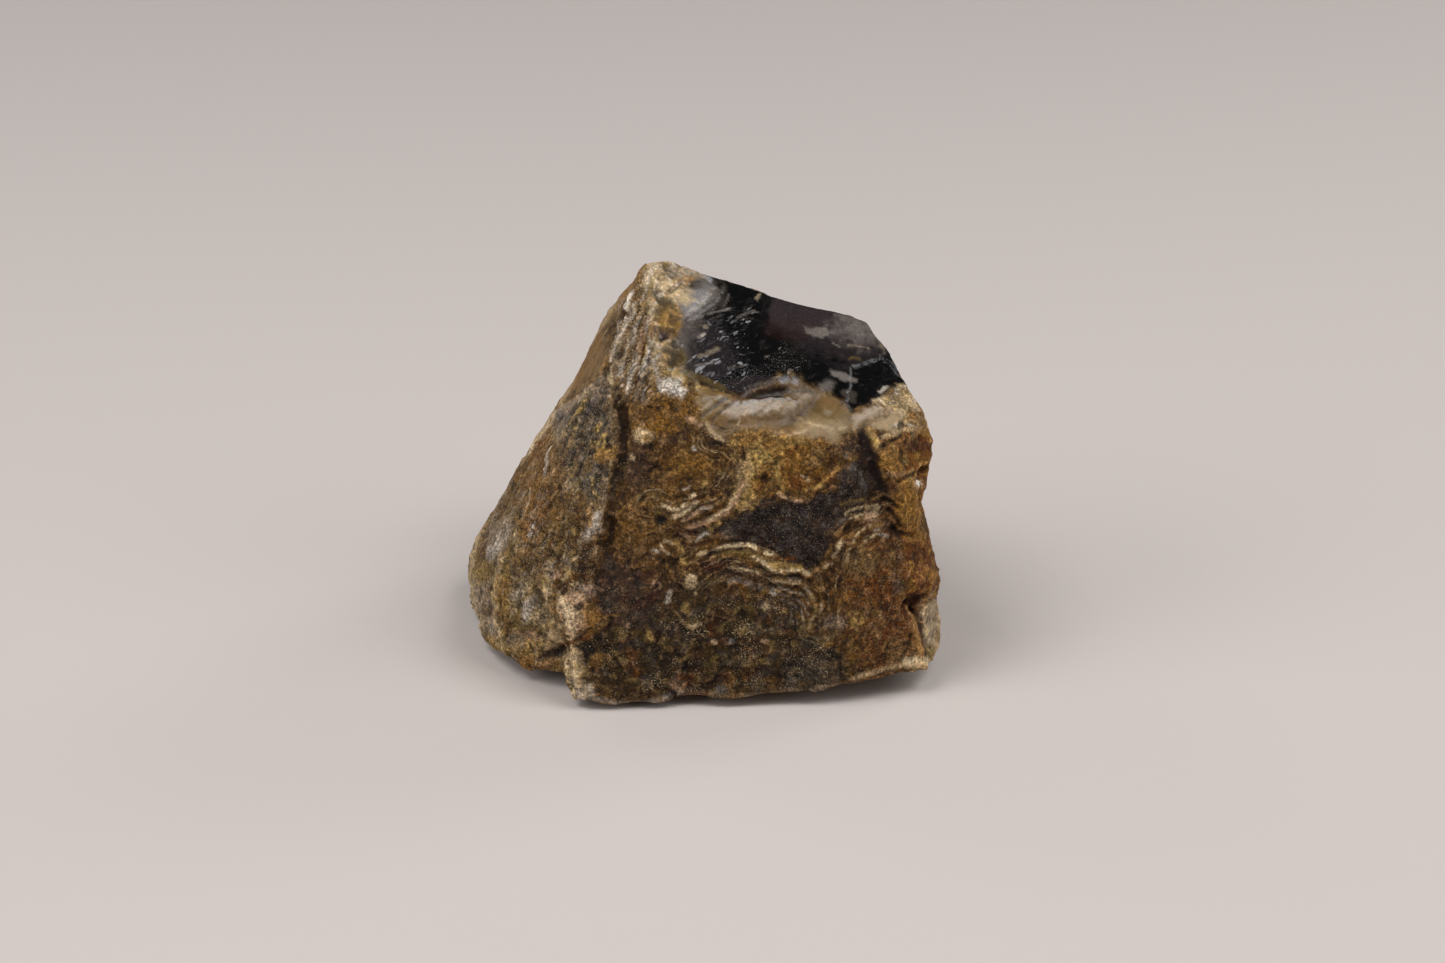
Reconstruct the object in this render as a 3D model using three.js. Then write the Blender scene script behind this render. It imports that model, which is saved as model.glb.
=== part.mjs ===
// Rough agate: one natural broken piece of banded chalcedony, made as one solid.
// Millimetres, +Z up, +X to the right, and the side with the most to see faces -Y.
//
// The stone is described from its heart outwards. Each break face is a plane that stops
// the stone on one side, and along any direction the stone reaches as far as the nearest
// of them. Ledges, furrows and marks are then raised on that surface or sunk in it.
// The mesh starts as a ball of directions and is cut finer where the surface needs it.

import * as THREE from "three";
import { ImprovedNoise } from "three/addons/math/ImprovedNoise.js";
import { mergeVertices } from "three/addons/utils/BufferGeometryUtils.js";

// ---------------------------------------------------------------- driving dimensions

const STONE_WIDTH = 55.6;
const STONE_DEPTH = 40.6;
const STONE_HEIGHT = 44.4;

const HEART = new THREE.Vector3(0, 0, 17);
const FARTHEST = 60;

const MOST_TRIANGLES = 9600;
const FIRST_DETAIL = 8;
const SHORTEST_EDGE = 0.4;

// Break faces: name, a point on the face, the way the face looks, the height of its
// lumps, the width of one lump, and how softly the face runs into the next one.
const BREAK_FACES = [
  ["glassy top", [9, -3, 37.3], [0.235, -0.324, 0.916], 0.25, 7, 0.1],
  ["top right", [18, -4.2, 34.5], [0.36, -0.44, 0.82], 0.15, 5, 0.1],
  ["right corner", [24.2, -4, 31.4], [0.79, -0.2, 0.58], 0.3, 5, 0.4],
  ["right side", [26.6, -7.5, 11], [0.97, 0.22, 0.03], 0.5, 6, 0.5],
  ["right buttress", [23.1, -10.8, 25.1], [0.82, -0.51, 0.25], 0.5, 5, 0.2],
  ["low right", [25.9, -11.3, 5], [0.88, -0.46, 0.1], 0.4, 5, 0.2],
  ["milky ledge", [9.5, -12.5, 33.4], [0.16, -0.54, 0.83], 0.3, 4, 0.3],
  ["front", [4, -16.2, 23.4], [0.06, -0.98, 0.165], 0.7, 8, 0.3],
  ["front upper left", [-5, -13.9, 32.5], [-0.12, -0.9, 0.42], 0.4, 6, 0.8],
  ["front right", [17.5, -15.8, 18], [0.3, -0.94, 0.12], 0.5, 6, 1.5],
  ["front foot", [2, -18.7, 6.5], [0.05, -0.998, -0.02], 0.5, 6, 1],
  ["striated", [-6, -4, 40.6], [-0.4, -0.49, 0.77], 0.4, 4, 0.2],
  ["left sliver", [-15.3, 8.5, 28.2], [-0.87, 0.03, 0.49], 0.2, 6, 0.1],
  ["lobe upper", [-12.5, -11, 29.5], [-0.62, -0.63, 0.46], 0.5, 6, 0.3],
  ["lobe front", [-12.5, -17, 16], [-0.5, -0.84, 0.22], 0.7, 6, 2.5],
  ["lobe side", [-21.2, -5, 21.3], [-0.83, -0.3, 0.47], 0.6, 6, 2],
  ["lobe low", [-26.1, -2.5, 6.5], [-0.97, -0.21, -0.03], 0.5, 5, 2.5],
  ["lobe low front", [-21.5, -12, 7], [-0.75, -0.66, -0.05], 0.7, 6, 2.5],
  ["lobe under", [-23.5, -8, 1.5], [-0.5, -0.35, -0.8], 0.4, 5, 1],
  ["back apex", [-6, 6, 43.2], [-0.35, 0.66, 0.66], 0.4, 5, 0.3],
  ["back top", [9, 5.8, 39.4], [0.23, 0.7, 0.62], 0.4, 7, 0.2],
  ["back right top", [20.2, 1.5, 36], [0.89, 0.33, 0.3], 0.3, 5, 0.2],
  ["back right", [18, 13, 20], [0.72, 0.68, 0.14], 1, 8, 0.5],
  ["back", [2, 18.5, 18], [0.05, 0.99, 0.12], 1.3, 9, 1.2],
  ["back left", [-18.5, 12, 17.5], [-0.74, 0.58, 0.34], 1, 8, 1],
  ["back low", [0, 16.5, 5], [0.1, 0.8, -0.6], 0.8, 6, 1.5],
  ["under right", [14, -15, 2.1], [0.12, -0.1, -0.99], 0.3, 5, 0.2],
  ["under front", [-5, -17.5, 0.7], [0.045, -0.09, -0.99], 0.25, 5, 0.2],
  ["under left", [-17, -6, 0.8], [-0.11, -0.03, -0.99], 0.3, 5, 0.2],
  ["under back", [2, 13, 1.2], [0.03, 0.15, -0.98], 0.3, 6, 0.2],
  ["rest", [0, 0, 0], [0, 0, -1], 0, 5, 0.1],
];

// Faces that swell (+) or are dished (-) about their point, and over what radius.
const SWELLS = {
  "glassy top": { rise: -1.2, radius: 13 },
  "left sliver": { rise: -0.7, radius: 6 },
  front: { rise: 0.3, radius: 14 },
  "lobe front": { rise: 0.6, radius: 12 },
  "lobe side": { rise: 0.6, radius: 12 },
  back: { rise: 0.8, radius: 16 },
};

// Ledges: a line drawn upwards on the front, as pairs of x and z. To its left and its
// right the stone is raised or lowered by a height that dies away over a width. A ledge
// starts, is whole, weakens and ends at four heights, and is lost between two depths.
const LEDGES = [
  {
    name: "edge of the lobe",
    line: points([-11.5, 0, 17], [-10.7, 0, 21.9], [-9.6, 0, 27], [-8.9, 0, 30], [-9.8, 0, 38]),
    left: { high: 0.8, wide: 6 },
    right: { high: -1, wide: 1.8 },
    blend: 0.45,
    heights: [15, 22, 33.5, 36.5],
    depths: [-8, -3],
  },
  {
    name: "foot",
    line: points([-14.2, 0, -1], [-15.4, 0, 2], [-16.1, 0, 4.5], [-14.8, 0, 9]),
    left: { high: -3, wide: 3.2 },
    right: { high: 0.2, wide: 2 },
    blend: 0.5,
    heights: [-2, -1, 3, 9],
    depths: [-14, -8],
  },
];

// Ribs (+) and furrows (-) that follow a line.
const RIBS = [
  {
    name: "furrow beside the buttress",
    line: points([18.2, -13.8, 30.8], [19, -14.2, 27.5], [20.2, -14.4, 23.5]),
    high: -1.3,
    wide: 1.4,
  },
  {
    name: "edge of the buttress",
    line: points([19.9, -12.9, 31], [20.8, -13.7, 27], [22.2, -13.6, 23]),
    high: 0.5,
    wide: 0.9,
  },
  {
    name: "crevice above the bump",
    line: points([21.2, -14.5, 20.8], [22.2, -14.5, 18.8], [23.8, -13.5, 17.6]),
    high: -0.8,
    wide: 0.9,
  },
  {
    name: "furrow below the hole",
    line: points([24, -13.9, 10], [24.9, -13.6, 7], [25.7, -13.2, 4]),
    high: -0.8,
    wide: 0.9,
  },
  {
    name: "lip of the milky ledge",
    line: points([2.5, -11.9, 35.6], [6, -11.6, 34.8], [9, -11, 34.6], [12, -10.6, 34]),
    high: 0.7,
    wide: 1,
  },
  {
    name: "first rib below the apex",
    line: points([-7.4, 1, 42], [-10.2, -5.5, 36.8]),
    high: 0.4,
    wide: 0.6,
  },
  {
    name: "second rib below the apex",
    line: points([-6.2, -1, 41.2], [-9, -8, 36.3]),
    high: 0.35,
    wide: 0.6,
  },
  {
    name: "crack in the buttress",
    line: points([24.1, -9.8, 24], [25.2, -7.5, 24.6]),
    high: -0.6,
    wide: 0.5,
  },
  {
    name: "hollow behind the lip",
    line: points([6.5, -9.6, 35], [8.5, -9, 35], [10.5, -8.8, 34.5]),
    high: -0.9,
    wide: 1.2,
  },
];

// Lumps (+) and pits (-) about one spot.
const MARKS = [
  { name: "apex", at: [-5, 3.5, 43.5], high: 0.3, wide: 3.5 },
  { name: "bump below the apex", at: [-12.4, 3, 36.2], high: 0.5, wide: 2 },
  { name: "pit beside the apex", at: [-3.5, -5, 39], high: -0.9, wide: 1.2 },
  { name: "dent in the right side", at: [25.5, -5.5, 19.5], high: -1.7, wide: 4 },
  { name: "bump on the right side", at: [25, -12, 12.8], high: 1, wide: 2.3 },
  { name: "ring near the ledge", at: [-6, -13.9, 32.1], high: 0.35, wide: 1.1 },
  { name: "pale lump on the front", at: [-1.6, -17.8, 16], high: 0.35, wide: 1.3 },
  { name: "white lump beside the lobe", at: [-12.2, -16.3, 22.1], high: 0.3, wide: 1.2 },
  { name: "crust above the foot", at: [-14.2, -17.9, 11.6], high: 0.6, wide: 2.4 },
  { name: "hole at the low right", at: [23.6, -14.2, 10.4], high: -1.6, wide: 1.2 },
  { name: "corner of the foot", at: [-13, -18.8, 0.4], high: -0.8, wide: 2.2 },
  { name: "low right corner", at: [24.5, -13.5, 2.6], high: 0.8, wide: 3 },
  { name: "dent under the front", at: [-1.4, -18.7, 0.8], high: -0.7, wide: 2.2 },
];

// ---------------------------------------------------------------- shape of the stone

function points(...list) {
  return list.map((place) => new THREE.Vector3(...place));
}

const faces = BREAK_FACES.map(([name, at, out, lumps, lumpWidth, soft]) => {
  const point = new THREE.Vector3(...at);
  const normal = new THREE.Vector3(...out).normalize();
  const away = point.clone().sub(HEART).dot(normal);
  return { name, point, normal, away, lumps, lumpWidth, soft, swell: SWELLS[name] };
});
const restFace = faces[faces.length - 1];
const marks = MARKS.map((mark) => ({ ...mark, at: new THREE.Vector3(...mark.at) }));
const noise = new ImprovedNoise();

// A value between about -1 and 1 that changes smoothly from lump to lump.
function lumpAt(spot, width) {
  return 1.3 * noise.noise(spot.x / width + 11.3, spot.y / width + 4.1, spot.z / width + 7.7);
}

// How far the stone reaches along a direction before this face stops it.
function reachOf(face, direction) {
  const lean = direction.dot(face.normal);
  if (lean < 0.04) return FARTHEST;
  const flat = face.away / lean;
  if (flat > FARTHEST) return FARTHEST;
  const spot = HEART.clone().addScaledVector(direction, flat);
  let height = face.lumps * lumpAt(spot, face.lumpWidth);
  height += 0.25 * face.lumps * lumpAt(spot, face.lumpWidth / 2.7);
  if (face.swell) {
    const share = spot.distanceTo(face.point) / face.swell.radius;
    height += face.swell.rise * Math.max(0, 1 - share * share);
  }
  return flat + height / Math.max(lean, 0.4);
}

// The lesser of two reaches, rounded off where they are nearly the same.
function softLesser(a, b, soft) {
  const near = Math.max(soft - Math.abs(a - b), 0) / soft;
  return Math.min(a, b) - (near * near * soft) / 4;
}

function bell(distance, width) {
  return Math.exp(-((distance / width) ** 2));
}

// The distance from a spot to a line through several points.
function distanceTo(line, spot) {
  const piece = new THREE.Line3();
  const closest = new THREE.Vector3();
  let least = Infinity;
  for (let i = 0; i + 1 < line.length; i += 1) {
    piece.set(line[i], line[i + 1]).closestPointToPoint(spot, true, closest);
    least = Math.min(least, closest.distanceTo(spot));
  }
  return least;
}

// How far a spot is to the right of a line, as seen from the front.
function rightOf(line, spot) {
  const seen = new THREE.Vector3(spot.x, 0, spot.z);
  const piece = new THREE.Line3();
  const closest = new THREE.Vector3();
  let least = Infinity;
  let side = 1;
  for (let i = 0; i + 1 < line.length; i += 1) {
    const [low, high] = [line[i], line[i + 1]];
    piece.set(low, high).closestPointToPoint(seen, true, closest);
    const far = closest.distanceTo(seen);
    if (far < least) {
      least = far;
      side = (high.z - low.z) * (spot.x - low.x) > (high.x - low.x) * (spot.z - low.z) ? 1 : -1;
    }
  }
  return side * least;
}

function ledgeHeight(ledge, spot) {
  const across = rightOf(ledge.line, spot);
  const left = ledge.left.high * bell(across, ledge.left.wide);
  const right = ledge.right.high * bell(across, ledge.right.wide);
  const share = THREE.MathUtils.smoothstep(across, -ledge.blend, ledge.blend);
  const [start, whole, weak, end] = ledge.heights;
  const begun = THREE.MathUtils.smoothstep(spot.z, start, whole);
  const ended = THREE.MathUtils.smoothstep(spot.z, weak, end);
  const behind = THREE.MathUtils.smoothstep(spot.y, ...ledge.depths);
  return THREE.MathUtils.lerp(left, right, share) * begun * (1 - ended) * (1 - behind);
}

// What stands on the faces or is sunk in them, as a height at a spot.
function reliefAt(spot) {
  let height = 0;
  for (const ledge of LEDGES) height += ledgeHeight(ledge, spot);
  for (const rib of RIBS) height += rib.high * bell(distanceTo(rib.line, spot), rib.wide);
  for (const mark of marks) height += mark.high * bell(mark.at.distanceTo(spot), mark.wide);
  return height;
}

function surfaceAt(direction) {
  let reach = FARTHEST;
  for (const face of faces) {
    reach = softLesser(reach, reachOf(face, direction), face.soft);
  }
  reach += reliefAt(HEART.clone().addScaledVector(direction, reach));
  reach = Math.min(reach, reachOf(restFace, direction));
  return HEART.clone().addScaledVector(direction, reach);
}

// The face that stops the stone in a direction.
function faceIn(direction) {
  let nearest = faces[0];
  let least = Infinity;
  for (const face of faces) {
    const reach = reachOf(face, direction);
    if (reach < least) {
      least = reach;
      nearest = face;
    }
  }
  return nearest;
}

// ---------------------------------------------------------------- the mesh

// Each corner is a direction from the heart, with its point on the surface.
const directions = [];
const surface = [];
const triangles = [];
const strayKnown = new Map();

function keyOf(a, b) {
  return a < b ? a * 65536 + b : b * 65536 + a;
}

function addCorner(direction) {
  directions.push(direction);
  surface.push(surfaceAt(direction));
  return directions.length - 1;
}

function lengthOf(a, b) {
  return surface[a].distanceTo(surface[b]);
}

function between(a, b, share) {
  return directions[a].clone().lerp(directions[b], share).normalize();
}

function startFromBall() {
  const ball = new THREE.IcosahedronGeometry(1, FIRST_DETAIL);
  ball.deleteAttribute("normal");
  ball.deleteAttribute("uv");
  const merged = mergeVertices(ball, 1e-4);
  const place = merged.attributes.position;
  for (let i = 0; i < place.count; i += 1) {
    addCorner(new THREE.Vector3().fromBufferAttribute(place, i).normalize());
  }
  const corner = merged.index.array;
  for (let i = 0; i < corner.length; i += 3) {
    triangles.push([corner[i], corner[i + 1], corner[i + 2]]);
  }
}

// Every edge, with the numbers of the two triangles beside it.
function findEdges() {
  const edges = new Map();
  triangles.forEach((corners, number) => {
    corners.forEach((a, i) => {
      const b = corners[(i + 1) % 3];
      const key = keyOf(a, b);
      if (!edges.has(key)) edges.set(key, { a, b, beside: [] });
      edges.get(key).beside.push(number);
    });
  });
  return edges;
}

// How far the surface stands off the middle of an edge.
function strayOf(a, b) {
  const key = keyOf(a, b);
  if (!strayKnown.has(key)) {
    const middle = surfaceAt(between(a, b, 0.5));
    const edge = new THREE.Line3(surface[a], surface[b]);
    const closest = edge.closestPointToPoint(middle, true, new THREE.Vector3());
    strayKnown.set(key, closest.distanceTo(middle));
  }
  return strayKnown.get(key);
}

// How badly an edge needs cutting. The back of the stone is left coarser.
function needOf(edge) {
  const long = lengthOf(edge.a, edge.b);
  if (long < SHORTEST_EDGE) return 0;
  const weight = surface[edge.a].y > 8 ? 0.45 : 1;
  return weight * strayOf(edge.a, edge.b) + 0.012 * Math.max(0, long - 1.2);
}

function longestEdgeOf([a, b, c], edges) {
  const sides = [edges.get(keyOf(a, b)), edges.get(keyOf(b, c)), edges.get(keyOf(c, a))];
  return sides.reduce((p, q) => (lengthOf(p.a, p.b) >= lengthOf(q.a, q.b) ? p : q));
}

// The corners of a triangle in their order, starting with the given edge.
function fromEdge(corners, a, b) {
  const i = [0, 1, 2].find((n) => keyOf(corners[n], corners[(n + 1) % 3]) === keyOf(a, b));
  return [corners[i], corners[(i + 1) % 3], corners[(i + 2) % 3]];
}

// Cuts the edges that stray most, no triangle more than once.
function cutEdges() {
  const edges = findEdges();
  const ranked = [...edges.values()].map((edge) => ({ edge, need: needOf(edge) }));
  ranked.sort((p, q) => q.need - p.need);
  const used = new Set();
  for (const { edge, need } of ranked) {
    if (triangles.length >= MOST_TRIANGLES || need < 0.3 * ranked[0].need) break;
    if (edge.beside.some((t) => used.has(t))) continue;
    // In a long thin triangle the longest edge is cut first.
    let cut = edge;
    for (const t of edge.beside) {
      const longest = longestEdgeOf(triangles[t], edges);
      if (lengthOf(cut.a, cut.b) < 0.65 * lengthOf(longest.a, longest.b)) cut = longest;
    }
    if (cut.beside.some((t) => used.has(t))) continue;
    const middle = addCorner(between(cut.a, cut.b, 0.5));
    for (const t of cut.beside) {
      const [a, b, c] = fromEdge(triangles[t], cut.a, cut.b);
      triangles[t] = [a, middle, c];
      triangles.push([middle, b, c]);
      used.add(t);
    }
  }
}

// 1 for an even triangle, more for a thin one.
function thinnessOf(a, b, c) {
  const corner = new THREE.Triangle(surface[a], surface[b], surface[c]);
  const longest = Math.max(lengthOf(a, b), lengthOf(b, c), lengthOf(c, a));
  return (0.433 * longest * longest) / Math.max(corner.getArea(), 1e-6);
}

function looksOut(a, b, c) {
  const across = new THREE.Vector3().crossVectors(directions[b], directions[c]);
  return directions[a].dot(across) > 1e-7;
}

// Turns edges the other way across their two triangles where that fits better.
function turnEdges() {
  const edges = findEdges();
  const used = new Set();
  for (const edge of edges.values()) {
    const [s, t] = edge.beside;
    if (used.has(s) || used.has(t)) continue;
    const [a, b, c] = fromEdge(triangles[s], edge.a, edge.b);
    const d = fromEdge(triangles[t], edge.a, edge.b)[2];
    if (edges.has(keyOf(c, d)) || !looksOut(c, a, d) || !looksOut(c, d, b)) continue;
    const thinNow = thinnessOf(a, b, c) + thinnessOf(b, a, d);
    const thinThen = thinnessOf(c, a, d) + thinnessOf(c, d, b);
    const now = strayOf(a, b) + 0.012 * Math.min(20, thinNow);
    const then = strayOf(c, d) + 0.012 * Math.min(20, thinThen);
    if (then > now - 0.004) continue;
    triangles[s] = [c, a, d];
    triangles[t] = [c, d, b];
    used.add(s);
    used.add(t);
  }
  return used.size / 2;
}

// Moves the corners beside a crisp edge of the stone onto it.
function sharpenEdges() {
  const faceOf = directions.map(faceIn);
  const around = directions.map(() => []);
  triangles.forEach((corners) => corners.forEach((c) => around[c].push(corners)));
  directions.forEach((before, v) => {
    let nearest = Infinity;
    let moved = before;
    for (const u of new Set(around[v].flat())) {
      if (faceOf[u] === faceOf[v]) continue;
      if (Math.max(faceOf[u].soft, faceOf[v].soft) > 0.5) continue;
      let share = 0.5;
      for (let step = 0.25; step > 1e-4; step /= 2) {
        share += faceIn(between(v, u, share)) === faceOf[v] ? step : -step;
      }
      const far = share * lengthOf(v, u);
      if (share < 0.42 && far < nearest) {
        nearest = far;
        moved = between(v, u, share);
      }
    }
    directions[v] = moved;
    if (!around[v].every((corners) => looksOut(...corners))) directions[v] = before;
  });
  directions.forEach((direction, v) => {
    surface[v] = surfaceAt(direction);
  });
  strayKnown.clear();
}

startFromBall();
while (triangles.length < MOST_TRIANGLES) {
  cutEdges();
  turnEdges();
}
sharpenEdges();
for (let round = 0; round < 8 && turnEdges() > 0; round += 1);

// ---------------------------------------------------------------- the solid

const geometry = new THREE.BufferGeometry().setFromPoints(surface);
geometry.setIndex(triangles.flat());
geometry.computeBoundingBox();
const made = geometry.boundingBox.getSize(new THREE.Vector3());
const middle = geometry.boundingBox.getCenter(new THREE.Vector3());
geometry.translate(-middle.x, -middle.y, -geometry.boundingBox.min.z);
geometry.scale(STONE_WIDTH / made.x, STONE_DEPTH / made.y, STONE_HEIGHT / made.z);
geometry.computeVertexNormals();

const chalcedony = new THREE.MeshStandardMaterial({ color: 0x5f4b31, roughness: 0.5, metalness: 0 });
const stone = new THREE.Mesh(geometry, chalcedony);
stone.name = "rough_agate";

const part = new THREE.Group();
part.name = "rough_agate_piece";
part.add(stone);

export default part;
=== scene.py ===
# %% [markdown]
# # Rough agate
# A rough agate is a broken lump of chalcedony, the fine-grained quartz that flint is made of too. This one
# has a dark glassy break on top, a milky ledge below it, and brown weathered faces with swirling bands. The
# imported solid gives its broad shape. This lesson gives a copy of it fine relief, paints it in layers, and
# lights it.

# %% Load the frame
import math

import bmesh
import bpy
import numpy as np
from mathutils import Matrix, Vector, noise


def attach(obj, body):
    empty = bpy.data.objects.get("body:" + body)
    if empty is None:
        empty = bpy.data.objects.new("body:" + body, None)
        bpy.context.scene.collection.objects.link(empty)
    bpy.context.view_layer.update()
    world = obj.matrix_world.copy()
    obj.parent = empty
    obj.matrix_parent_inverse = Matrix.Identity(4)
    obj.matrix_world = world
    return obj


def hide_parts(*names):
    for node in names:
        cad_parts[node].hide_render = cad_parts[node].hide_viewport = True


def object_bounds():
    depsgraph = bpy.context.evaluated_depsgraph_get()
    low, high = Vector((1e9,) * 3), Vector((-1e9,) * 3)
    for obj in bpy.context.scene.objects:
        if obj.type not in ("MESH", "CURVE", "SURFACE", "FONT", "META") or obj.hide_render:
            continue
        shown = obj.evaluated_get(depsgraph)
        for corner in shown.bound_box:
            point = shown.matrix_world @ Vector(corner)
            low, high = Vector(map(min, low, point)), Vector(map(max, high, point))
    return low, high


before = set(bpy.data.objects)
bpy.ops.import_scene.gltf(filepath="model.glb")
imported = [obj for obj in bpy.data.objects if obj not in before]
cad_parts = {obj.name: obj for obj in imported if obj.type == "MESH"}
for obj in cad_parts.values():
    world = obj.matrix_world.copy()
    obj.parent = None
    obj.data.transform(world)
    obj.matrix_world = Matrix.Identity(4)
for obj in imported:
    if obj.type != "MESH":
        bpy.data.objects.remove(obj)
cad_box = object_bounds()
MM = 0.001
print("nodes", list(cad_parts), "box", cad_box)

# %% [markdown]
# ## Camera
# The stone is seen from a little above with a long lens, as small things on a table are. The camera is worked
# out from the point that it looks at, its height angle and its distance, so that each can be changed on its
# own.

# %% Camera
PICTURE_WIDTH = 1445
PICTURE_HEIGHT = 963
LOOK_AT = Vector((2.74, -0.78, 19.2)) * MM
LOOK_DOWN = math.radians(27)
CAMERA_DISTANCE = 389 * MM
LENS = 55.0
FILM_WIDTH = 23.5
NEAREST = 10 * MM
FARTHEST = 20

ahead = Vector((0, math.cos(LOOK_DOWN), -math.sin(LOOK_DOWN)))
upward = Vector((0, math.sin(LOOK_DOWN), math.cos(LOOK_DOWN)))
camera_place = LOOK_AT - ahead * CAMERA_DISTANCE

camera_data = bpy.data.cameras.new("table_camera")
camera_data.lens = LENS
camera_data.sensor_width = FILM_WIDTH
camera_data.clip_start = NEAREST
camera_data.clip_end = FARTHEST
camera = bpy.data.objects.new("table_camera", camera_data)
camera.location = camera_place
camera.rotation_euler = (math.pi / 2 - LOOK_DOWN, 0, 0)
bpy.context.scene.collection.objects.link(camera)
bpy.context.scene.camera = camera
bpy.context.scene.view_settings.view_transform = "Standard"
print("camera at", [round(c / MM, 1) for c in camera_place], "mm")

# %% [markdown]
# ## Floor
# The floor is one wide pale square, far larger than the view, so that no edge of it shows. It is stage, not
# part of the stone. Its colour is a warm light grey, and it is rough, so that shadows fall on it softly.

# %% Floor
FLOOR_HALF = 3.0
FLOOR_COLOUR = (0.62, 0.56, 0.53, 1)
FLOOR_ROUGHNESS = 0.9
FLOOR_SHINE = 0.1

floor_shape = bmesh.new()
bmesh.ops.create_grid(floor_shape, x_segments=1, y_segments=1, size=FLOOR_HALF)
floor_mesh = bpy.data.meshes.new("floor")
floor_shape.to_mesh(floor_mesh)
floor_shape.free()
floor = bpy.data.objects.new("floor", floor_mesh)
bpy.context.scene.collection.objects.link(floor)

pale_floor = bpy.data.materials.new("pale_floor")
pale_floor.use_nodes = True
floor_shader = pale_floor.node_tree.nodes["Principled BSDF"]
floor_shader.inputs["Base Color"].default_value = FLOOR_COLOUR
floor_shader.inputs["Roughness"].default_value = FLOOR_ROUGHNESS
floor_shader.inputs["Specular IOR Level"].default_value = FLOOR_SHINE
floor_mesh.materials.append(pale_floor)
print("floor", 2 * FLOOR_HALF, "m wide")

# %% [markdown]
# ## Light
# Two lamps hang high above, one to each side. Each throws a soft shadow to the other side, and they leave
# the front darker than the top. Two larger ones, lower and further off, and the pale world fill it in, and
# two small ones behind draw a thin rim. Area lamps are used because their size sets how soft the edge of a
# shadow is.

# %% Light
WORLD_COLOUR = (0.95, 0.97, 1.0, 1)
WORLD_STRENGTH = 0.10

world = bpy.data.worlds.new("studio")
world.use_nodes = True
backdrop = world.node_tree.nodes["Background"]
backdrop.inputs["Color"].default_value = WORLD_COLOUR
backdrop.inputs["Strength"].default_value = WORLD_STRENGTH
bpy.context.scene.world = world


def soft_lamp(name, place, width, power):
    """A square lamp that faces the stone: its place and width in metres, and its power in watts."""
    lamp_data = bpy.data.lights.new(name, "AREA")
    lamp_data.size = width
    lamp_data.energy = power
    lamp = bpy.data.objects.new(name, lamp_data)
    lamp.location = place
    lamp.rotation_euler = (LOOK_AT - Vector(place)).to_track_quat("-Z", "Y").to_euler()
    bpy.context.scene.collection.objects.link(lamp)


soft_lamp("left_overhead_lamp", (-0.22, -0.12, 0.50), 0.24, 1.18)
soft_lamp("right_overhead_lamp", (0.24, -0.14, 0.50), 0.24, 1.23)
soft_lamp("left_lamp", (-0.66, -0.26, 0.40), 0.45, 1.95)
soft_lamp("right_lamp", (0.66, -0.28, 0.40), 0.45, 1.0)
soft_lamp("left_rim_lamp", (-0.42, 0.36, 0.30), 0.2, 0.25)
soft_lamp("right_rim_lamp", (0.46, 0.26, 0.30), 0.2, 0.6)
print("lamps", len(bpy.data.lights))

# %% [markdown]
# ## The stone's mesh
# A broken stone has sharp edges between smoother faces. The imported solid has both, but its triangles are too
# large for fine relief. So a copy is merged, its sharp edges are marked as creases, and one level of
# Subdivision Surface rounds what lies between them. After that, edges are split only where they are still
# long, so that the mesh is even and fine in front, and coarser behind. A voxel remesh would be even too, but
# it wears the sharp edges off.

# %% Copy and round
MERGE = 0.01 * MM
SHARP_FROM = math.radians(20)
SHARP_FULL = math.radians(50)

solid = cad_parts["rough_agate"]
shape = bmesh.new()
shape.from_mesh(solid.data)
bmesh.ops.remove_doubles(shape, verts=shape.verts, dist=MERGE)
crease = shape.edges.layers.float.new("crease_edge")
for edge in shape.edges:
    bend = edge.calc_face_angle(0)
    edge[crease] = min(1.0, max(0.0, (bend - SHARP_FROM) / (SHARP_FULL - SHARP_FROM)))
rounded_mesh = bpy.data.meshes.new("rounded")
shape.to_mesh(rounded_mesh)
shape.free()
rounded = bpy.data.objects.new("rounded", rounded_mesh)
bpy.context.scene.collection.objects.link(rounded)
rounding = rounded.modifiers.new("rounding", "SUBSURF")
rounding.levels = 1
rounding.render_levels = 1
rounded_copy = rounded.evaluated_get(bpy.context.evaluated_depsgraph_get())
stone_mesh = bpy.data.meshes.new_from_object(rounded_copy)
stone_mesh.name = "agate_stone"
stone_mesh.attributes.remove(stone_mesh.attributes["custom_normal"])
bpy.data.objects.remove(rounded)
print("rounded to", len(stone_mesh.polygons), "faces")

# %% [markdown]
# The length that an edge may have depends on which way its part of the stone looks: short where it faces the
# camera, longer on the back and below. Splitting and cutting into triangles is repeated until no edge is too
# long.

# %% Split the long edges
FRONT_EDGE = 0.38 * MM
BACK_EDGE = 0.80 * MM
MOST_TURNS = 4
SMOOTHING = 0.3

fine = bmesh.new()
fine.from_mesh(stone_mesh)
bmesh.ops.triangulate(fine, faces=fine.faces[:])
for turn in range(MOST_TURNS):
    fine.normal_update()
    too_long = []
    for edge in fine.edges:
        towards = -(edge.verts[0].normal + edge.verts[1].normal).dot(ahead) / 2
        if edge.calc_length() > (FRONT_EDGE if towards > 0 else BACK_EDGE):
            too_long.append(edge)
    if not too_long:
        break
    bmesh.ops.subdivide_edges(fine, edges=too_long, cuts=1)
    bmesh.ops.triangulate(fine, faces=[face for face in fine.faces if len(face.verts) > 3])
    print("turn", turn, "triangles", len(fine.faces))
bmesh.ops.smooth_vert(
    fine, verts=fine.verts, factor=SMOOTHING, use_axis_x=True, use_axis_y=True, use_axis_z=True
)
fine.normal_update()
fine.to_mesh(stone_mesh)
fine.free()
print("stone has", len(stone_mesh.polygons), "triangles")

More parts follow.
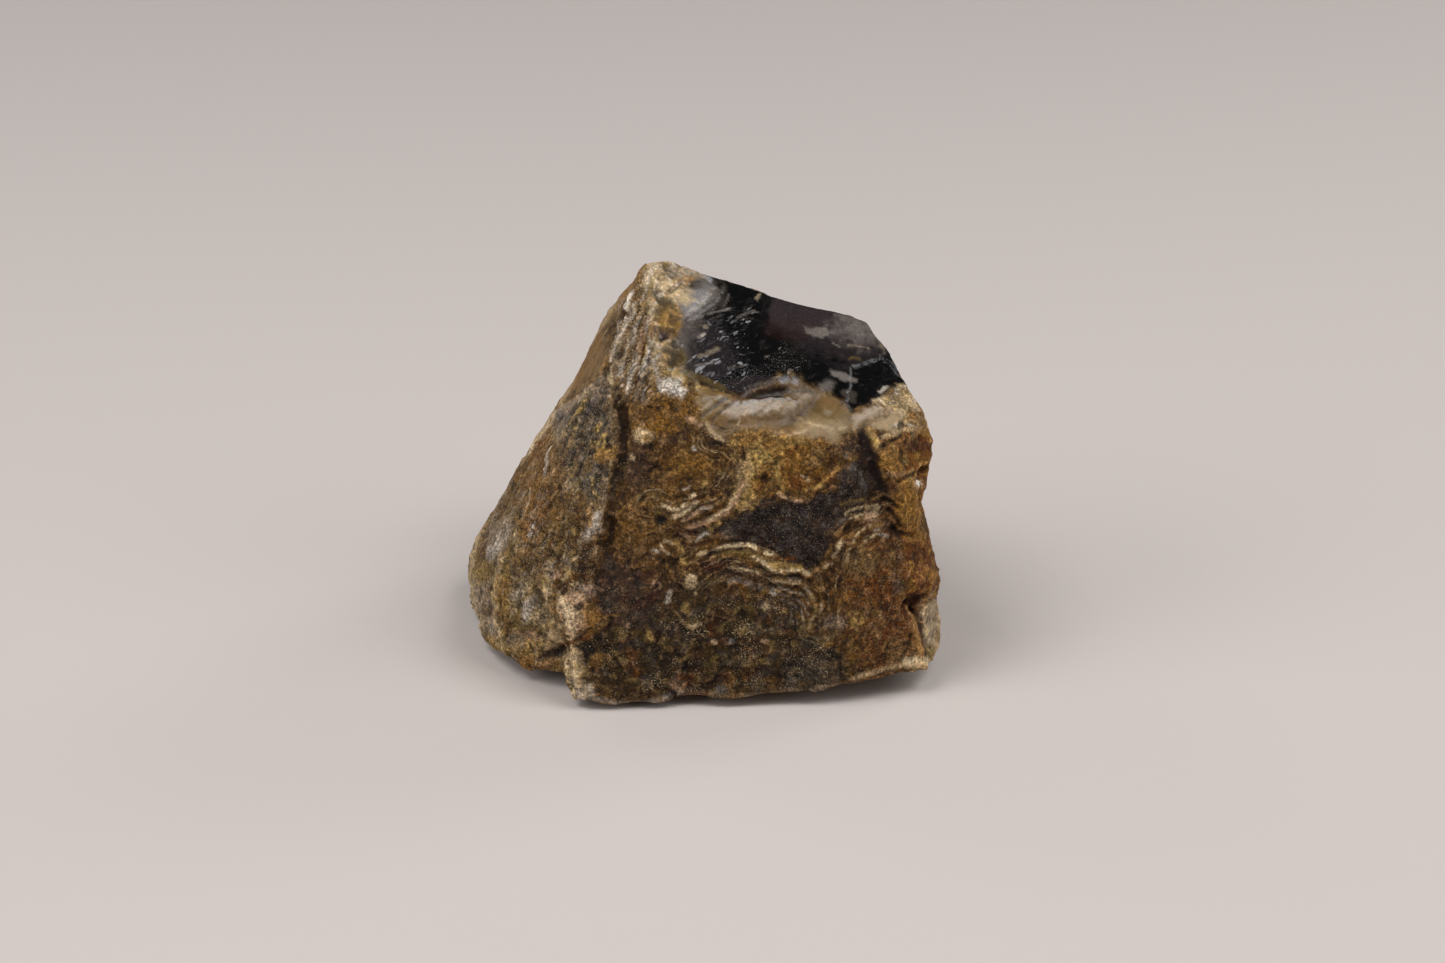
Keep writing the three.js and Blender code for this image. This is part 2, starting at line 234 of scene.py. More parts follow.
# %% [markdown]
# ## Where each point of the stone is seen
# The marks on a stone are easiest to place as a painter would, from where the stone is looked at. So each
# point's place in the camera's picture is worked out, and a mark is given by its place there. A mark fades
# out where the stone turns away, so that nothing is drawn through to the back.

# %% Places in the picture
count = len(stone_mesh.vertices)


def read(source, name, width=3):
    """One row of numbers for each item of a mesh's list."""
    values = np.empty(len(source) * width)
    source.foreach_get(name, values)
    return values.reshape(-1, width)


places = read(stone_mesh.vertices, "co")
normals = read(stone_mesh.vertex_normals, "vector")
place_vectors = [Vector(place / MM) for place in places]

pixels_per_radian = PICTURE_WIDTH * LENS / FILM_WIDTH
from_camera = places - np.array(camera_place)
depth = from_camera @ np.array(ahead)
seen_x = PICTURE_WIDTH / 2 + pixels_per_radian * from_camera[:, 0] / depth
seen_y = PICTURE_HEIGHT / 2 - pixels_per_radian * (from_camera @ np.array(upward)) / depth
facing = -np.sum(normals * from_camera, axis=1) / np.linalg.norm(from_camera, axis=1)
PIXEL = CAMERA_DISTANCE / MM / pixels_per_radian
print("points", count, "one pixel is", round(PIXEL, 3), "mm")

# %% [markdown]
# ## Noise
# `lumps` is smooth noise read in the stone's own space, so that it runs round every corner without a seam. An
# image would have to be stretched over the stone, and would show where it ends. `ramp` turns any value into a
# soft step.

# %% Noise
def ramp(low, high, values):
    """0 below low, 1 above high, and smooth between."""
    share = np.clip((values - low) / (high - low), 0, 1)
    return share * share * (3 - 2 * share)


def layered_noise(spots, octaves, falling=0.8):
    """Noise at each spot. Each octave is twice as fine as the last, and weaker as `falling` says."""
    return np.array([noise.fractal(spot_place, falling, 2.0, octaves) for spot_place in spots])


def lumps(size, seed, octaves=3):
    """Smooth noise over the stone, of about -1 to 1, with lumps of this size in mm."""
    shift = Vector((17.3 * seed, 31.7 * seed, -7.9 * seed))
    values = layered_noise([place / size + shift for place in place_vectors], octaves)
    return values / (2 * values.std())


coarse_x, coarse_y = lumps(4.0, 1), lumps(4.0, 2)
fine_x, fine_y = lumps(1.1, 3), lumps(1.1, 4)
broken = lumps(0.9, 5, 4)
print("lumps from", coarse_x.min().round(2), "to", coarse_x.max().round(2))

# %% [markdown]
# ## Brushes
# Every mask is a number from 0 to 1 for each point of the stone. Noise pushes the places about a little
# before a shape is drawn, so that no edge is a clean curve. `inside` fills an outline, `near` follows a line,
# and `spot` fills an ellipse. `curve` rounds a line's corners by cutting them off, twice.

# %% Places pushed about
COARSE_PUSH = 0.7
FINE_PUSH = 0.45
GONE_BELOW = -0.12
WHOLE_ABOVE = 0.04

front = ramp(GONE_BELOW, WHOLE_ABOVE, facing)


def drawn(wander):
    """Each point's place in the picture, pushed about by up to this many pixels."""
    return (
        seen_x + wander * (COARSE_PUSH * coarse_x + FINE_PUSH * fine_x),
        seen_y + wander * (COARSE_PUSH * coarse_y + FINE_PUSH * fine_y),
    )


print("points that face the camera", int((front > 0.5).sum()))

# %% Lines
CORNER_CUT = 0.25
FAR_AWAY = 1e9


def curve(points):
    """A line with its corners cut off twice, so that it bends smoothly."""
    for turn in range(2):
        cut = [points[0]]
        for (ax, ay), (bx, by) in zip(points, points[1:]):
            for share in (CORNER_CUT, 1 - CORNER_CUT):
                cut.append(((1 - share) * ax + share * bx, (1 - share) * ay + share * by))
        points = cut + [points[-1]]
    return points


def along(line, x, y):
    """For each point, how far it is from a line, to which side, and how far along the line."""
    best = np.full(count, FAR_AWAY)
    across = np.zeros(count)
    travelled = np.zeros(count)
    before = 0.0
    for (ax, ay), (bx, by) in zip(line, line[1:]):
        dx, dy = bx - ax, by - ay
        length = math.hypot(dx, dy)
        share = np.clip(((x - ax) * dx + (y - ay) * dy) / length**2, 0, 1)
        away = np.hypot(x - ax - share * dx, y - ay - share * dy)
        side = np.where((x - ax) * dy - (y - ay) * dx < 0, -1, 1)
        closer = away < best
        best = np.where(closer, away, best)
        across = np.where(closer, away * side, across)
        travelled = np.where(closer, before + share * length, travelled)
        before += length
    return across, travelled


print("a line of 3 points is rounded to", len(curve([(0, 0), (9, 0), (9, 9)])))

# %% Brushes
EDGE_BREAK = 0.5
SPOT_BREAK = 0.15
PATCH_WANDER = 1.5
LINE_WANDER = 1.2
SPOT_WANDER = 2


def inside(outline, soft, wander):
    """A filled outline, with an edge that is soft and broken over this many pixels."""
    x, y = drawn(wander)
    odd = np.zeros(count, bool)
    for (ax, ay), (bx, by) in zip(outline, outline[1:] + outline[:1]):
        crosses = (ay > y) != (by > y)
        odd ^= crosses & (x < ax + (y - ay) * (bx - ax) / ((by - ay) or 1e-9))
    nearest = np.abs(along(outline + outline[:1], x, y)[0])
    return ramp(-soft, soft, np.where(odd, nearest, -nearest) + EDGE_BREAK * soft * broken) * front


def near(line, width, wander, soft=0.6):
    """A line of this width in pixels, with a share of it soft."""
    away = np.abs(along(line, *drawn(wander))[0])
    return (1 - ramp(width * (1 - soft) / 2, width * (1 + soft) / 2, away)) * front


def spot(centre, half_width, half_height, tilt=0, soft=0.35):
    """An ellipse whose width is turned by tilt degrees, anticlockwise."""
    x, y = drawn(SPOT_WANDER)
    turn = math.radians(tilt)
    dx, dy = x - centre[0], centre[1] - y
    u = (dx * math.cos(turn) + dy * math.sin(turn)) / half_width
    v = (dy * math.cos(turn) - dx * math.sin(turn)) / half_height
    return (1 - ramp(1 - soft, 1 + soft, np.hypot(u, v) + SPOT_BREAK * broken)) * front


print("a spot 20 pixels wide covers", int((spot((722, 481), 10, 10) > 0.5).sum()), "points")

# %% [markdown]
# ## Zones
# These outlines are the parts of the stone that can be told apart from the front. Both the relief and the
# paint use them, so that a change of colour and a change of surface fall on the same line, as they do on a
# real stone. Every place in them is a pixel of the picture, across and down.

# %% Outlines of the zones
ZONES = {
    "front": [
        (612, 392), (690, 392), (760, 430), (870, 430), (905, 520), (925, 668), (770, 702),
        (590, 702), (566, 650), (604, 560),
    ],
    "low front": [
        (606, 602), (690, 588), (760, 598), (822, 628), (850, 660), (850, 700), (640, 708), (584, 696),
    ],
    "dark patch": [
        (722, 520), (743, 516), (760, 499), (784, 500), (806, 502), (830, 492), (842, 470), (866, 460),
        (874, 490), (868, 500), (842, 516), (827, 542), (818, 572), (804, 572), (786, 561), (762, 546),
        (736, 540),
    ],
    "plum patch": [(596, 556), (640, 560), (662, 585), (655, 618), (604, 626), (590, 600)],
    "ochre patch": [(724, 438), (790, 434), (800, 446), (788, 480), (770, 496), (752, 500), (736, 480)],
    "rust side": [
        (838, 560), (852, 525), (880, 512), (905, 540), (922, 600), (926, 662), (874, 678), (866, 648),
        (850, 612),
    ],
    "lobe": [
        (556, 411), (609, 363), (622, 410), (620, 470), (603, 545), (590, 600), (575, 640), (540, 676),
        (500, 668), (464, 600), (468, 540), (510, 470),
    ],
    "lobe grey": [
        (557, 414), (606, 372), (619, 415), (620, 468), (612, 500), (596, 512), (574, 490), (556, 450),
    ],
    "lobe low": [(466, 572), (500, 566), (536, 600), (556, 640), (540, 682), (500, 672), (462, 610)],
    "buttress": [
        (868, 430), (900, 430), (934, 422), (935, 480), (922, 530), (932, 560), (905, 556), (893, 500),
        (880, 470),
    ],
    "bump": [(904, 546), (930, 540), (942, 560), (940, 600), (920, 608), (906, 596)],
    "pale low right": [(920, 606), (944, 592), (944, 655), (928, 668), (922, 640)],
    "top": [
        (684, 284), (700, 268), (745, 280), (815, 298), (874, 318), (898, 350), (912, 384), (893, 388),
        (873, 403), (852, 411), (836, 398), (818, 386), (790, 374), (766, 384), (744, 394), (704, 386),
        (682, 370), (676, 330),
    ],
    "ledge": [
        (696, 388), (712, 390), (745, 398), (766, 388), (790, 378), (812, 386), (832, 396), (852, 411),
        (873, 404), (905, 408), (902, 430), (870, 430), (850, 431), (835, 442), (800, 436), (757, 431),
        (722, 435), (706, 424),
    ],
    "corner": [(876, 404), (893, 388), (908, 376), (926, 400), (934, 430), (905, 430), (900, 410)],
    "apex": [
        (640, 258), (700, 262), (716, 276), (722, 300), (690, 330), (690, 352), (672, 385), (652, 350),
        (646, 285),
    ],
    "striated": [
        (652, 262), (650, 300), (656, 350), (664, 390), (648, 402), (616, 408), (609, 362), (606, 330),
        (632, 280),
    ],
    "sliver": [(646, 258), (628, 292), (608, 335), (608, 362), (560, 412), (530, 435), (590, 320)],
    "foot": [(562, 650), (578, 644), (584, 700), (560, 700)],
}
print("outlines", len(ZONES))

# %% [markdown]
# Some of these parts end at an edge of the stone, and some melt into the next one. Those that melt are given
# a softer edge here, in pixels.

# %% Masks of the zones
PLAIN_EDGE = 5
SOFT_EDGE = {
    "low front": 22, "plum patch": 16, "ochre patch": 14, "rust side": 20,
    "lobe low": 20, "lobe grey": 12, "foot": 8,
}
zone = {
    name: inside(outline, SOFT_EDGE.get(name, PLAIN_EDGE), PLAIN_EDGE + SOFT_EDGE.get(name, 0) / 2)
    for name, outline in ZONES.items()
}
print("zones", {name: int((mask > 0.5).sum()) for name, mask in zone.items()})

# %% [markdown]
# ## Strands
# Bands, fibres and scratches are long one way and fine the other. For each family of them a guide line is
# drawn, and every point near it is told how far across and along the guide it lies. Noise that is read in
# those two directions, stretched along the guide, makes strands that follow it round its bends.

# %% Strands
# Each row: name, zone, reach in pixels, size across and along in mm, strength, guide line.
STRANDS = [
    ("striated face", "striated", 44, 0.45, 4.0, 1.0, [
        (660, 262), (644, 300), (628, 345), (612, 392), (604, 420),
    ]),
    ("sliver", "sliver", 40, 0.5, 3.0, 0.5, [(640, 262), (604, 330), (575, 385), (540, 425)]),
    ("lobe", "lobe", 70, 0.5, 2.6, 0.6, [(590, 392), (548, 455), (518, 520), (500, 590), (508, 660)]),
    ("left swirl", "front", 26, 0.45, 3.0, 1.0, [
        (652, 508), (680, 512), (708, 506), (730, 492), (740, 470), (732, 448), (712, 440),
    ]),
    ("low swirl", "front", 20, 0.45, 3.0, 1.0, [
        (668, 526), (694, 535), (716, 528), (742, 508), (758, 486), (770, 470),
    ]),
    ("arches", "front", 34, 0.5, 4.5, 1.0, [
        (690, 570), (716, 552), (746, 550), (772, 562), (800, 574), (814, 592), (820, 622),
    ]),
    ("right swirl", "front", 34, 0.5, 3.5, 1.0, [
        (822, 590), (826, 562), (834, 538), (848, 520), (872, 506), (900, 500),
    ]),
    ("rust", "rust side", 34, 0.7, 1.6, 0.4, [(860, 660), (862, 610), (872, 570), (890, 530)]),
    ("ledge", "ledge", 200, 0.7, 2.6, 0.2, [(690, 446), (730, 408), (770, 372)]),
    ("top", "top", 90, 0.5, 1.2, 0.15, [(676, 400), (730, 372), (790, 350), (900, 330)]),
    ("buttress", "buttress", 40, 0.6, 1.6, 0.4, [(884, 430), (900, 470), (908, 520), (914, 600)]),
]
print("families of strands", len(STRANDS))

# %% Strand places
GUIDE_WANDER = 3
FULL_REACH = 0.55
FAMILIES_APART = 7.0
LESS_WHERE_CROSSED = 0.6

strand_place = np.zeros((count, 3))
strand_amount = np.zeros(count)
second_best = np.zeros(count)
for number, (name, where, reach, fine_size, long_size, strength, guide) in enumerate(STRANDS):
    across, travelled = along(curve(guide), *drawn(GUIDE_WANDER))
    weight = (1 - ramp(FULL_REACH * reach, reach, np.abs(across))) * strength * zone[where]
    wins = weight > strand_amount
    second_best = np.where(wins, strand_amount, np.maximum(second_best, weight))
    strand_amount = np.where(wins, weight, strand_amount)
    family = np.full(count, FAMILIES_APART * number)
    steps = (across * PIXEL / fine_size, travelled * PIXEL / long_size, family)
    strand_place = np.where(wins[:, None], np.stack(steps, axis=1), strand_place)
strand_amount = np.clip(strand_amount - LESS_WHERE_CROSSED * second_best, 0, 1)
strand_vectors = [Vector(place) for place in strand_place]
strand_noise = layered_noise(strand_vectors, 2, 0.9)
print("points with strands", int((strand_amount > 0.1).sum()), "noise", strand_noise.std().round(3))

# %% [markdown]
# ## Relief
# A weathered face is rough with chips, lumps and small pits, a glassy break has only shallow steps, and a
# fibrous one has furrows along its fibres. Each point moves along its own normal by a mix of these. `chips`
# gives every cell of a Voronoi pattern its own small tilt, which is how a stone breaks.

# %% Roughness of each zone
UNLIKE = 7.31
CELL_MIDDLE = Vector((0.5, 0.5, 0.5))


def chips(size, seed):
    """Small tilted facets of this size in mm, about -1 to 1."""
    heights = np.empty(count)
    shift = Vector((seed, 3 * seed, -seed))
    for i, place in enumerate(place_vectors):
        near_cell = noise.voronoi(place / size + shift)[1][0]
        tilt = noise.cell_vector(near_cell * UNLIKE) - CELL_MIDDLE
        heights[i] = (place / size + shift - near_cell).dot(tilt) * 2
    return heights


# The heights of each form, in millimetres.
CHIP, SMALL_CHIP, SWELL, PIT, CRUMB = 0.18, 0.09, 0.12, 0.16, 0.035
LOBE_LUMP, LOBE_CHIP = 0.14, 0.1
FURROW, DEEPER_FURROW = 0.1, 0.12
GLASS_STEP, LEDGE_SWELL = 0.04, 0.05

smooth_part = np.clip(zone["top"] + 0.85 * zone["ledge"] + 0.5 * zone["sliver"] + 0.4 * zone["corner"], 0, 1)
rough_part = 1 - smooth_part
pits = ramp(0.35, 1.0, lumps(1.6, 31))
broken_face = CHIP * chips(2.6, 2) + SMALL_CHIP * chips(1.2, 5) + SWELL * lumps(3.2, 32) - PIT * pits
relief = rough_part * broken_face
relief += rough_part * CRUMB * lumps(0.7, 33, 2)
relief += zone["lobe"] * LOBE_LUMP * lumps(1.5, 34) + zone["lobe grey"] * LOBE_CHIP * chips(0.9, 8)
relief += strand_amount * strand_noise * (FURROW + DEEPER_FURROW * zone["striated"]) * (1 - zone["top"])
relief += zone["top"] * GLASS_STEP * chips(3.0, 9)
relief += zone["ledge"] * LEDGE_SWELL * lumps(1.8, 35)
print("roughness from", relief.min().round(2), "to", relief.max().round(2), "mm")

# %% [markdown]
# Then come the forms that have a place of their own: the rolls and the hollow of the ledge, the crevices on
# the right, the crust, the foot's ridge, and the bands of the swirls, which stand out by a tenth of a
# millimetre where the softer stone beside them has worn away. Heights are in millimetres, and below zero is a
# hollow.

# %% Raised patches
# Each row: name, softness in pixels, height, outline.
RAISED_PATCHES = [
    ("lip of the ledge", 5, 0.45, [
        (721, 412), (735, 402), (760, 401), (789, 399), (798, 404), (795, 411), (768, 416), (740, 420),
        (726, 417),
    ]),
    ("under the lip", 5, -0.25, [
        (720, 420), (760, 419), (800, 414), (806, 424), (786, 431), (740, 434), (718, 431),
    ]),
    ("hollow of the ledge", 4, -0.6, [
        (748, 398), (760, 391), (774, 386), (788, 388), (783, 396), (767, 398),
    ]),
    ("right rim", 4, 0.3, [(790, 388), (803, 385), (813, 388), (820, 395), (812, 398), (798, 394)]),
    ("beige roll", 4, 0.3, [(796, 396), (808, 395), (815, 402), (810, 408), (799, 411)]),
    ("second roll", 4, 0.35, [
        (853, 415), (863, 411), (874, 407), (888, 408), (875, 416), (864, 423), (855, 427),
    ]),
    ("left of the ledge", 5, 0.25, [(694, 396), (713, 392), (738, 401), (724, 411), (714, 420), (704, 422)]),
    ("crust", 4, 0.35, [(562, 600), (574, 592), (590, 585), (588, 600), (586, 622), (573, 639), (559, 613)]),
    ("face of the foot", 4, -0.25, [(561, 652), (574, 646), (576, 670), (574, 690), (564, 688), (560, 668)]),
    ("first window", 5, -0.35, [
        (656, 290), (670, 293), (679, 305), (679, 322), (675, 335), (662, 337), (654, 318),
    ]),
    ("second window", 5, -0.35, [(662, 346), (672, 344), (682, 349), (684, 358), (678, 366), (665, 365)]),
    ("black corner", 2, -0.25, [
        (852, 368), (880, 357), (893, 365), (904, 378), (885, 386), (852, 412), (846, 402),
    ]),
]
print("raised patches", len(RAISED_PATCHES))

# %% Raised lines and spots
# Each row: name, width in pixels, height, points.
RAISED_LINES = [
    ("valley", 14, -0.45, [(864, 436), (869, 450), (873, 464), (876, 476), (881, 488)]),
    ("chip on the crease", 7, 0.35, [(868, 432), (873, 437), (878, 447)]),
    ("groove", 8, -0.28, [(616, 390), (621, 406), (624, 424), (621, 460), (612, 500), (606, 524)]),
    ("ridge of the lobe", 6, 0.25, [(601, 373), (585, 391), (568, 409), (555, 417)]),
    ("upper crevice", 5, -0.40, [(883, 499), (890, 502), (899, 509)]),
    ("middle crevice", 5, -0.45, [(889, 510), (896, 517), (902, 527)]),
    ("low crevice", 7, -0.50, [(893, 529), (898, 535), (904, 535), (912, 536)]),
    ("crack in the buttress", 4, -0.35, [(900, 481), (906, 476), (914, 473), (927, 469)]),
    ("dashes under the corner", 5, -0.30, [(880, 448), (888, 444), (899, 437), (904, 434)]),
    ("edge below the hole", 8, 0.35, [(906, 608), (911, 620), (915, 634), (918, 650), (920, 664)]),
    ("ridge of the foot", 9, 0.35, [(574, 644), (576, 660), (577, 676), (584, 692)]),
    ("light edge of the foot", 6, 0.25, [(866, 673), (880, 668), (894, 665), (924, 666)]),
    ("notch", 9, -0.5, [(544, 656), (556, 652), (566, 648)]),
    ("first fold", 4, -0.20, [(704, 416), (714, 406), (726, 398)]),
    ("second fold", 4, -0.18, [(712, 420), (722, 410), (734, 403)]),
    ("first rib", 5, 0.25, [(635, 290), (630, 298), (626, 308)]),
    ("second rib", 5, 0.25, [(629, 325), (618, 340), (611, 360)]),
    ("furrow of the ribs", 6, -0.30, [(636, 300), (622, 320), (612, 345)]),
    ("first ring", 4, 0.12, [(664, 506), (672, 509), (680, 508), (686, 504), (690, 498), (694, 494)]),
    ("broad cream", 6, 0.14, [(675, 516), (687, 509), (696, 502), (709, 507)]),
    ("red strand", 5, -0.14, [(676, 526), (686, 532), (698, 532), (705, 529)]),
    ("outer band", 6, 0.12, [(690, 528), (712, 520), (727, 510), (737, 497), (742, 483)]),
    ("first arch", 5, 0.14, [(720, 548), (741, 544), (751, 545), (773, 557)]),
    ("second arch", 6, 0.16, [(753, 558), (767, 567), (781, 571), (800, 571), (808, 574)]),
    ("dark under the second arch", 5, -0.14, [(760, 568), (770, 576), (784, 577), (798, 577), (810, 582)]),
    ("fifth arch", 5, 0.14, [(774, 581), (797, 582), (806, 587), (814, 599)]),
    ("right strand", 7, 0.16, [(820, 570), (833, 558), (837, 548), (841, 540)]),
    ("rim of the eye", 5, 0.14, [(778, 494), (788, 499), (806, 501), (821, 484), (837, 468)]),
]
# Each row: name, place, half width, half height, height.
RAISED_SPOTS = [
    ("hole", (911, 609.5), 3.4, 3.2, -0.7),
    ("bump", (926, 580), 15, 13, 0.35),
    ("underside of the bump", (916, 600), 11, 5, -0.2),
    ("pit by the window", (664, 336), 6, 4, -0.30),
    ("black spot", (660, 521), 6, 6, -0.35),
    ("dark spot in the crust", (580, 606), 6, 3, -0.30),
    ("yellow blob", (650, 636), 5, 9, 0.15),
    ("beige blob", (691, 581), 7, 8, 0.15),
    ("third beige blob", (695, 625), 8, 4, 0.12),
    ("ring spot", (643, 436), 10, 7, 0.12),
    ("light chip", (918, 484), 4, 4, 0.15),
    ("brown oval", (686, 470), 26, 22, 0.15),
    ("eye", (804, 464), 20, 20, 0.12),
]
print("raised lines", len(RAISED_LINES), "and spots", len(RAISED_SPOTS))

# %% [markdown]
# The forms are added with soft edges, so that each is a swelling or a hollow and not a step. Close to the
# floor the relief fades out, so that the stone still rests on its flat spot, and no point leaves the packed
# solid's box.

# %% Raise the forms
LINE_SOFTNESS = 0.9
SPOT_SOFTNESS = 0.6
STEADY_BELOW = 0.1
FREE_ABOVE = 1.2

raised = {}
for name, soft, height, outline in RAISED_PATCHES:
    relief += height * inside(outline, soft, PATCH_WANDER)
    raised[name] = outline
for name, width, height, points in RAISED_LINES:
    relief += height * near(curve(points), width, LINE_WANDER, soft=LINE_SOFTNESS)
    raised[name] = points
for name, place, half_width, half_height, height in RAISED_SPOTS:
    relief += height * spot(place, half_width, half_height, soft=SPOT_SOFTNESS)
steady = ramp(STEADY_BELOW, FREE_ABOVE, places[:, 2] / MM)
places += normals * (relief * steady * MM)[:, None]
places[:, 2] = np.maximum(places[:, 2], 0)
low, high = np.array(cad_box[0]), np.array(cad_box[1])
places = np.clip(places, low, high)
stone_mesh.vertices.foreach_set("co", places.ravel())
stone_mesh.update()
normals = read(stone_mesh.vertex_normals, "vector")
print("relief from", relief.min().round(2), "to", relief.max().round(2), "mm")

# %% [markdown]
# ## Crests and crevices
# Ridges are later painted pale, as painted highlight, and crevices dark, as painted shade. How far a point
# stands out from its neighbours tells which is which, once it has been averaged over a few rings of them.

# %% Crests and crevices
ends = np.empty(len(stone_mesh.edges) * 2, int)
stone_mesh.edges.foreach_get("vertices", ends)
first, last = ends.reshape(-1, 2).T
neighbours = np.bincount(first, minlength=count) + np.bincount(last, minlength=count)


def averaged(values, rounds):
    """Each point's value moved half way to its neighbours' mean, this many times over."""
    for turn in range(rounds):
        total = np.bincount(first, values[last], count) + np.bincount(last, values[first], count)
        values = 0.5 * values + 0.5 * total / neighbours
    return values


def standing(rounds):
    """How far each point stands out from the surface averaged round it, in mm."""
    mean = np.stack([averaged(places[:, axis], rounds) for axis in range(3)], axis=1)
    return np.sum((places - mean) * normals, axis=1) / MM


FINE_ROUNDS, FINE_STEP = 5, (0.01, 0.05)
BROAD_ROUNDS, BROAD_STEP = 40, (0.02, 0.14)
fine_standing = standing(FINE_ROUNDS)
broad_standing = standing(BROAD_ROUNDS)
crest = ramp(*BROAD_STEP, broad_standing)
crevice = ramp(*BROAD_STEP, -broad_standing)
fine_crest = ramp(*FINE_STEP, fine_standing)
fine_crevice = ramp(*FINE_STEP, -fine_standing)
print("crests", crest.mean().round(3), "crevices", crevice.mean().round(3))
print("spread", fine_standing.std().round(3), broad_standing.std().round(3))

# %% [markdown]
# ## Finishes
# The colours are those of the stone's minerals: iron gives the browns and rust, clean chalcedony the milky
# greys, and carbon the black. Each is given as it looks to the eye, and turned into the share of light that
# it throws back, less the little that any stone's surface mirrors in soft light.

# %% Finishes
FRONT_LIGHT = 0.96
MIRRORED = 0.01
DARKEST = 0.002
PALEST = 0.9

MINERALS = {
    "jet": (16, 14, 16),
    "smoke": (58, 51, 52),
    "ash": (112, 104, 98),
    "mist": (150, 149, 151),
    "milk": (146, 130, 110),
    "chalk": (226, 216, 204),
    "bone": (190, 179, 165),
    "ivory": (216, 193, 154),
    "cream": (194, 170, 132),
    "straw": (172, 142, 84),
    "honey": (146, 106, 46),
    "sienna": (110, 69, 26),
    "amber": (120, 84, 36),
    "ochre": (148, 110, 60),
    "dun": (118, 92, 58),
    "limonite": (90, 63, 31),
    "umber": (62, 43, 23),
    "bistre": (34, 24, 17),
    "rust": (98, 57, 24),
    "wine": (70, 38, 24),
    "plum": (62, 47, 40),
    "olive": (58, 45, 25),
    "moss": (108, 89, 52),
    "blush": (168, 136, 108),
    "slate": (80, 73, 66),
}


def to_light(level):
    """The share of light that goes with a level of 0 to 255 on a screen, by the screens' own rule."""
    share = level / 255
    return share / 12.92 if share <= 0.04045 else ((share + 0.055) / 1.055) ** 2.4


def finish_of(levels):
    """The colour that the shader needs for the surface to look as these levels do."""
    return np.array([min(PALEST, max(DARKEST, to_light(level) / FRONT_LIGHT - MIRRORED)) for level in levels])


FINISH = {name: finish_of(levels) for name, levels in MINERALS.items()}
print("minerals", len(FINISH))

# %% [markdown]
# Six things are painted on the stone's points: the ground colour, the accent colour of what lies in it, how
# dense the flecks and flakes are, how glossy it is and how gritty. `lay` moves them towards new values where
# a mask says. `marble` lays patches of several colours, each cut out of its own noise at the level that
# leaves the share of the area that is asked for. `coat` does both for a zone.

# %% Laying colours
LUMP_STRETCH = 1.6
STRANDS_SHOW = 1.5
PATCH_EDGE_FROM = -0.15
PATCH_EDGE_TO = 0.3

paint = {
    "ground": np.tile(FINISH["limonite"], (count, 1)),
    "accent": np.tile(FINISH["cream"], (count, 1)),
    "flecks": np.full(count, 0.35),
    "flakes": np.zeros(count),
    "gloss": np.full(count, 0.15),
    "grit": np.full(count, 0.8),
}


def lay(mask, colour=None, accent=None, **amounts):
    """Lays a colour where the mask says, and with it the colour and amount of what lies in it."""
    for name, finish in (("ground", colour), ("accent", accent)):
        if finish:
            paint[name] += (FINISH[finish] - paint[name]) * mask[:, None]
    for name, amount in amounts.items():
        paint[name] += (amount - paint[name]) * mask


def streaky(size, seed):
    """Lumps of this size, drawn out along the strands where there are any."""
    shift = Vector((3.1 * seed, 0, 0))
    drawn_out = layered_noise([place / (LUMP_STRETCH * size) + shift for place in strand_vectors], 3)
    share = np.clip(STRANDS_SHOW * strand_amount, 0, 1)
    return lumps(size, seed, 4) * (1 - share) + drawn_out / (2 * drawn_out.std()) * share


def marble(mask, seed, layers):
    """Lays patches of several colours: each has a size in mm, a share of the area, and a strength."""
    for number, (finish, size, share, strength) in enumerate(layers):
        field = streaky(size, seed + number)
        level = np.quantile(field, 1 - share)
        lay(mask * ramp(level + PATCH_EDGE_FROM, level + PATCH_EDGE_TO, field) * strength, finish)


def coat(name, ground, accent, seed, layers, strength=1, **amounts):
    """Lays a zone's own colours and amounts, and then its mix of patches."""
    lay(zone[name] * strength, ground, accent, **amounts)
    marble(zone[name], seed, layers)
    print("coat on", name, "with", len(layers), "colours mixed in")


print("painted on each point:", list(paint))

# %% [markdown]
# ## Weathered rind
# The first coat covers the whole stone, back and underside too: brown, with patches of grey, rust and olive
# that run through the stone's own space, so that they carry on round every corner. Where a broad noise passes
# through one level, its sine makes a few bands side by side, which is how agate shows. Pale flecks come in
# clouds.

# %% Rind
BAND_LEVEL = 0.15
BAND_SPREAD = 0.3
BANDS = 16
CLOUD_LEVEL = 0.45
CLOUD_CONTRAST = 0.6
FEWEST_FLECKS = 0.15
MORE_IN_CLOUDS = 0.6

clouds = np.clip(CLOUD_LEVEL + CLOUD_CONTRAST * streaky(3.4, 60), 0, 1)
marble(np.ones(count), 11, [
    ("umber", 4.2, 0.4, 0.9), ("olive", 5, 0.3, 0.8), ("rust", 6, 0.22, 0.7), ("slate", 3.4, 0.2, 0.7),
    ("moss", 2.2, 0.2, 0.6), ("dun", 1.3, 0.22, 0.6), ("blush", 1.8, 0.07, 0.5),
])
bend = lumps(9.0, 65)
banding = np.exp(-(((bend - BAND_LEVEL) / BAND_SPREAD) ** 2))
lay(ramp(0.3, 0.9, lumps(7.0, 66)) * 0.6, "ochre")
lay(banding * ramp(0.1, 0.9, np.sin(BANDS * bend)) * 0.7, "cream")
lay(banding * ramp(0.1, 0.9, -np.sin(BANDS * bend)) * 0.5, "umber")
paint["flecks"] = FEWEST_FLECKS + MORE_IN_CLOUDS * clouds
lay(ramp(-0.2, 0.4, lumps(1.3, 62)), None, "straw")
print("flecks on the rind", paint["flecks"].mean().round(2))

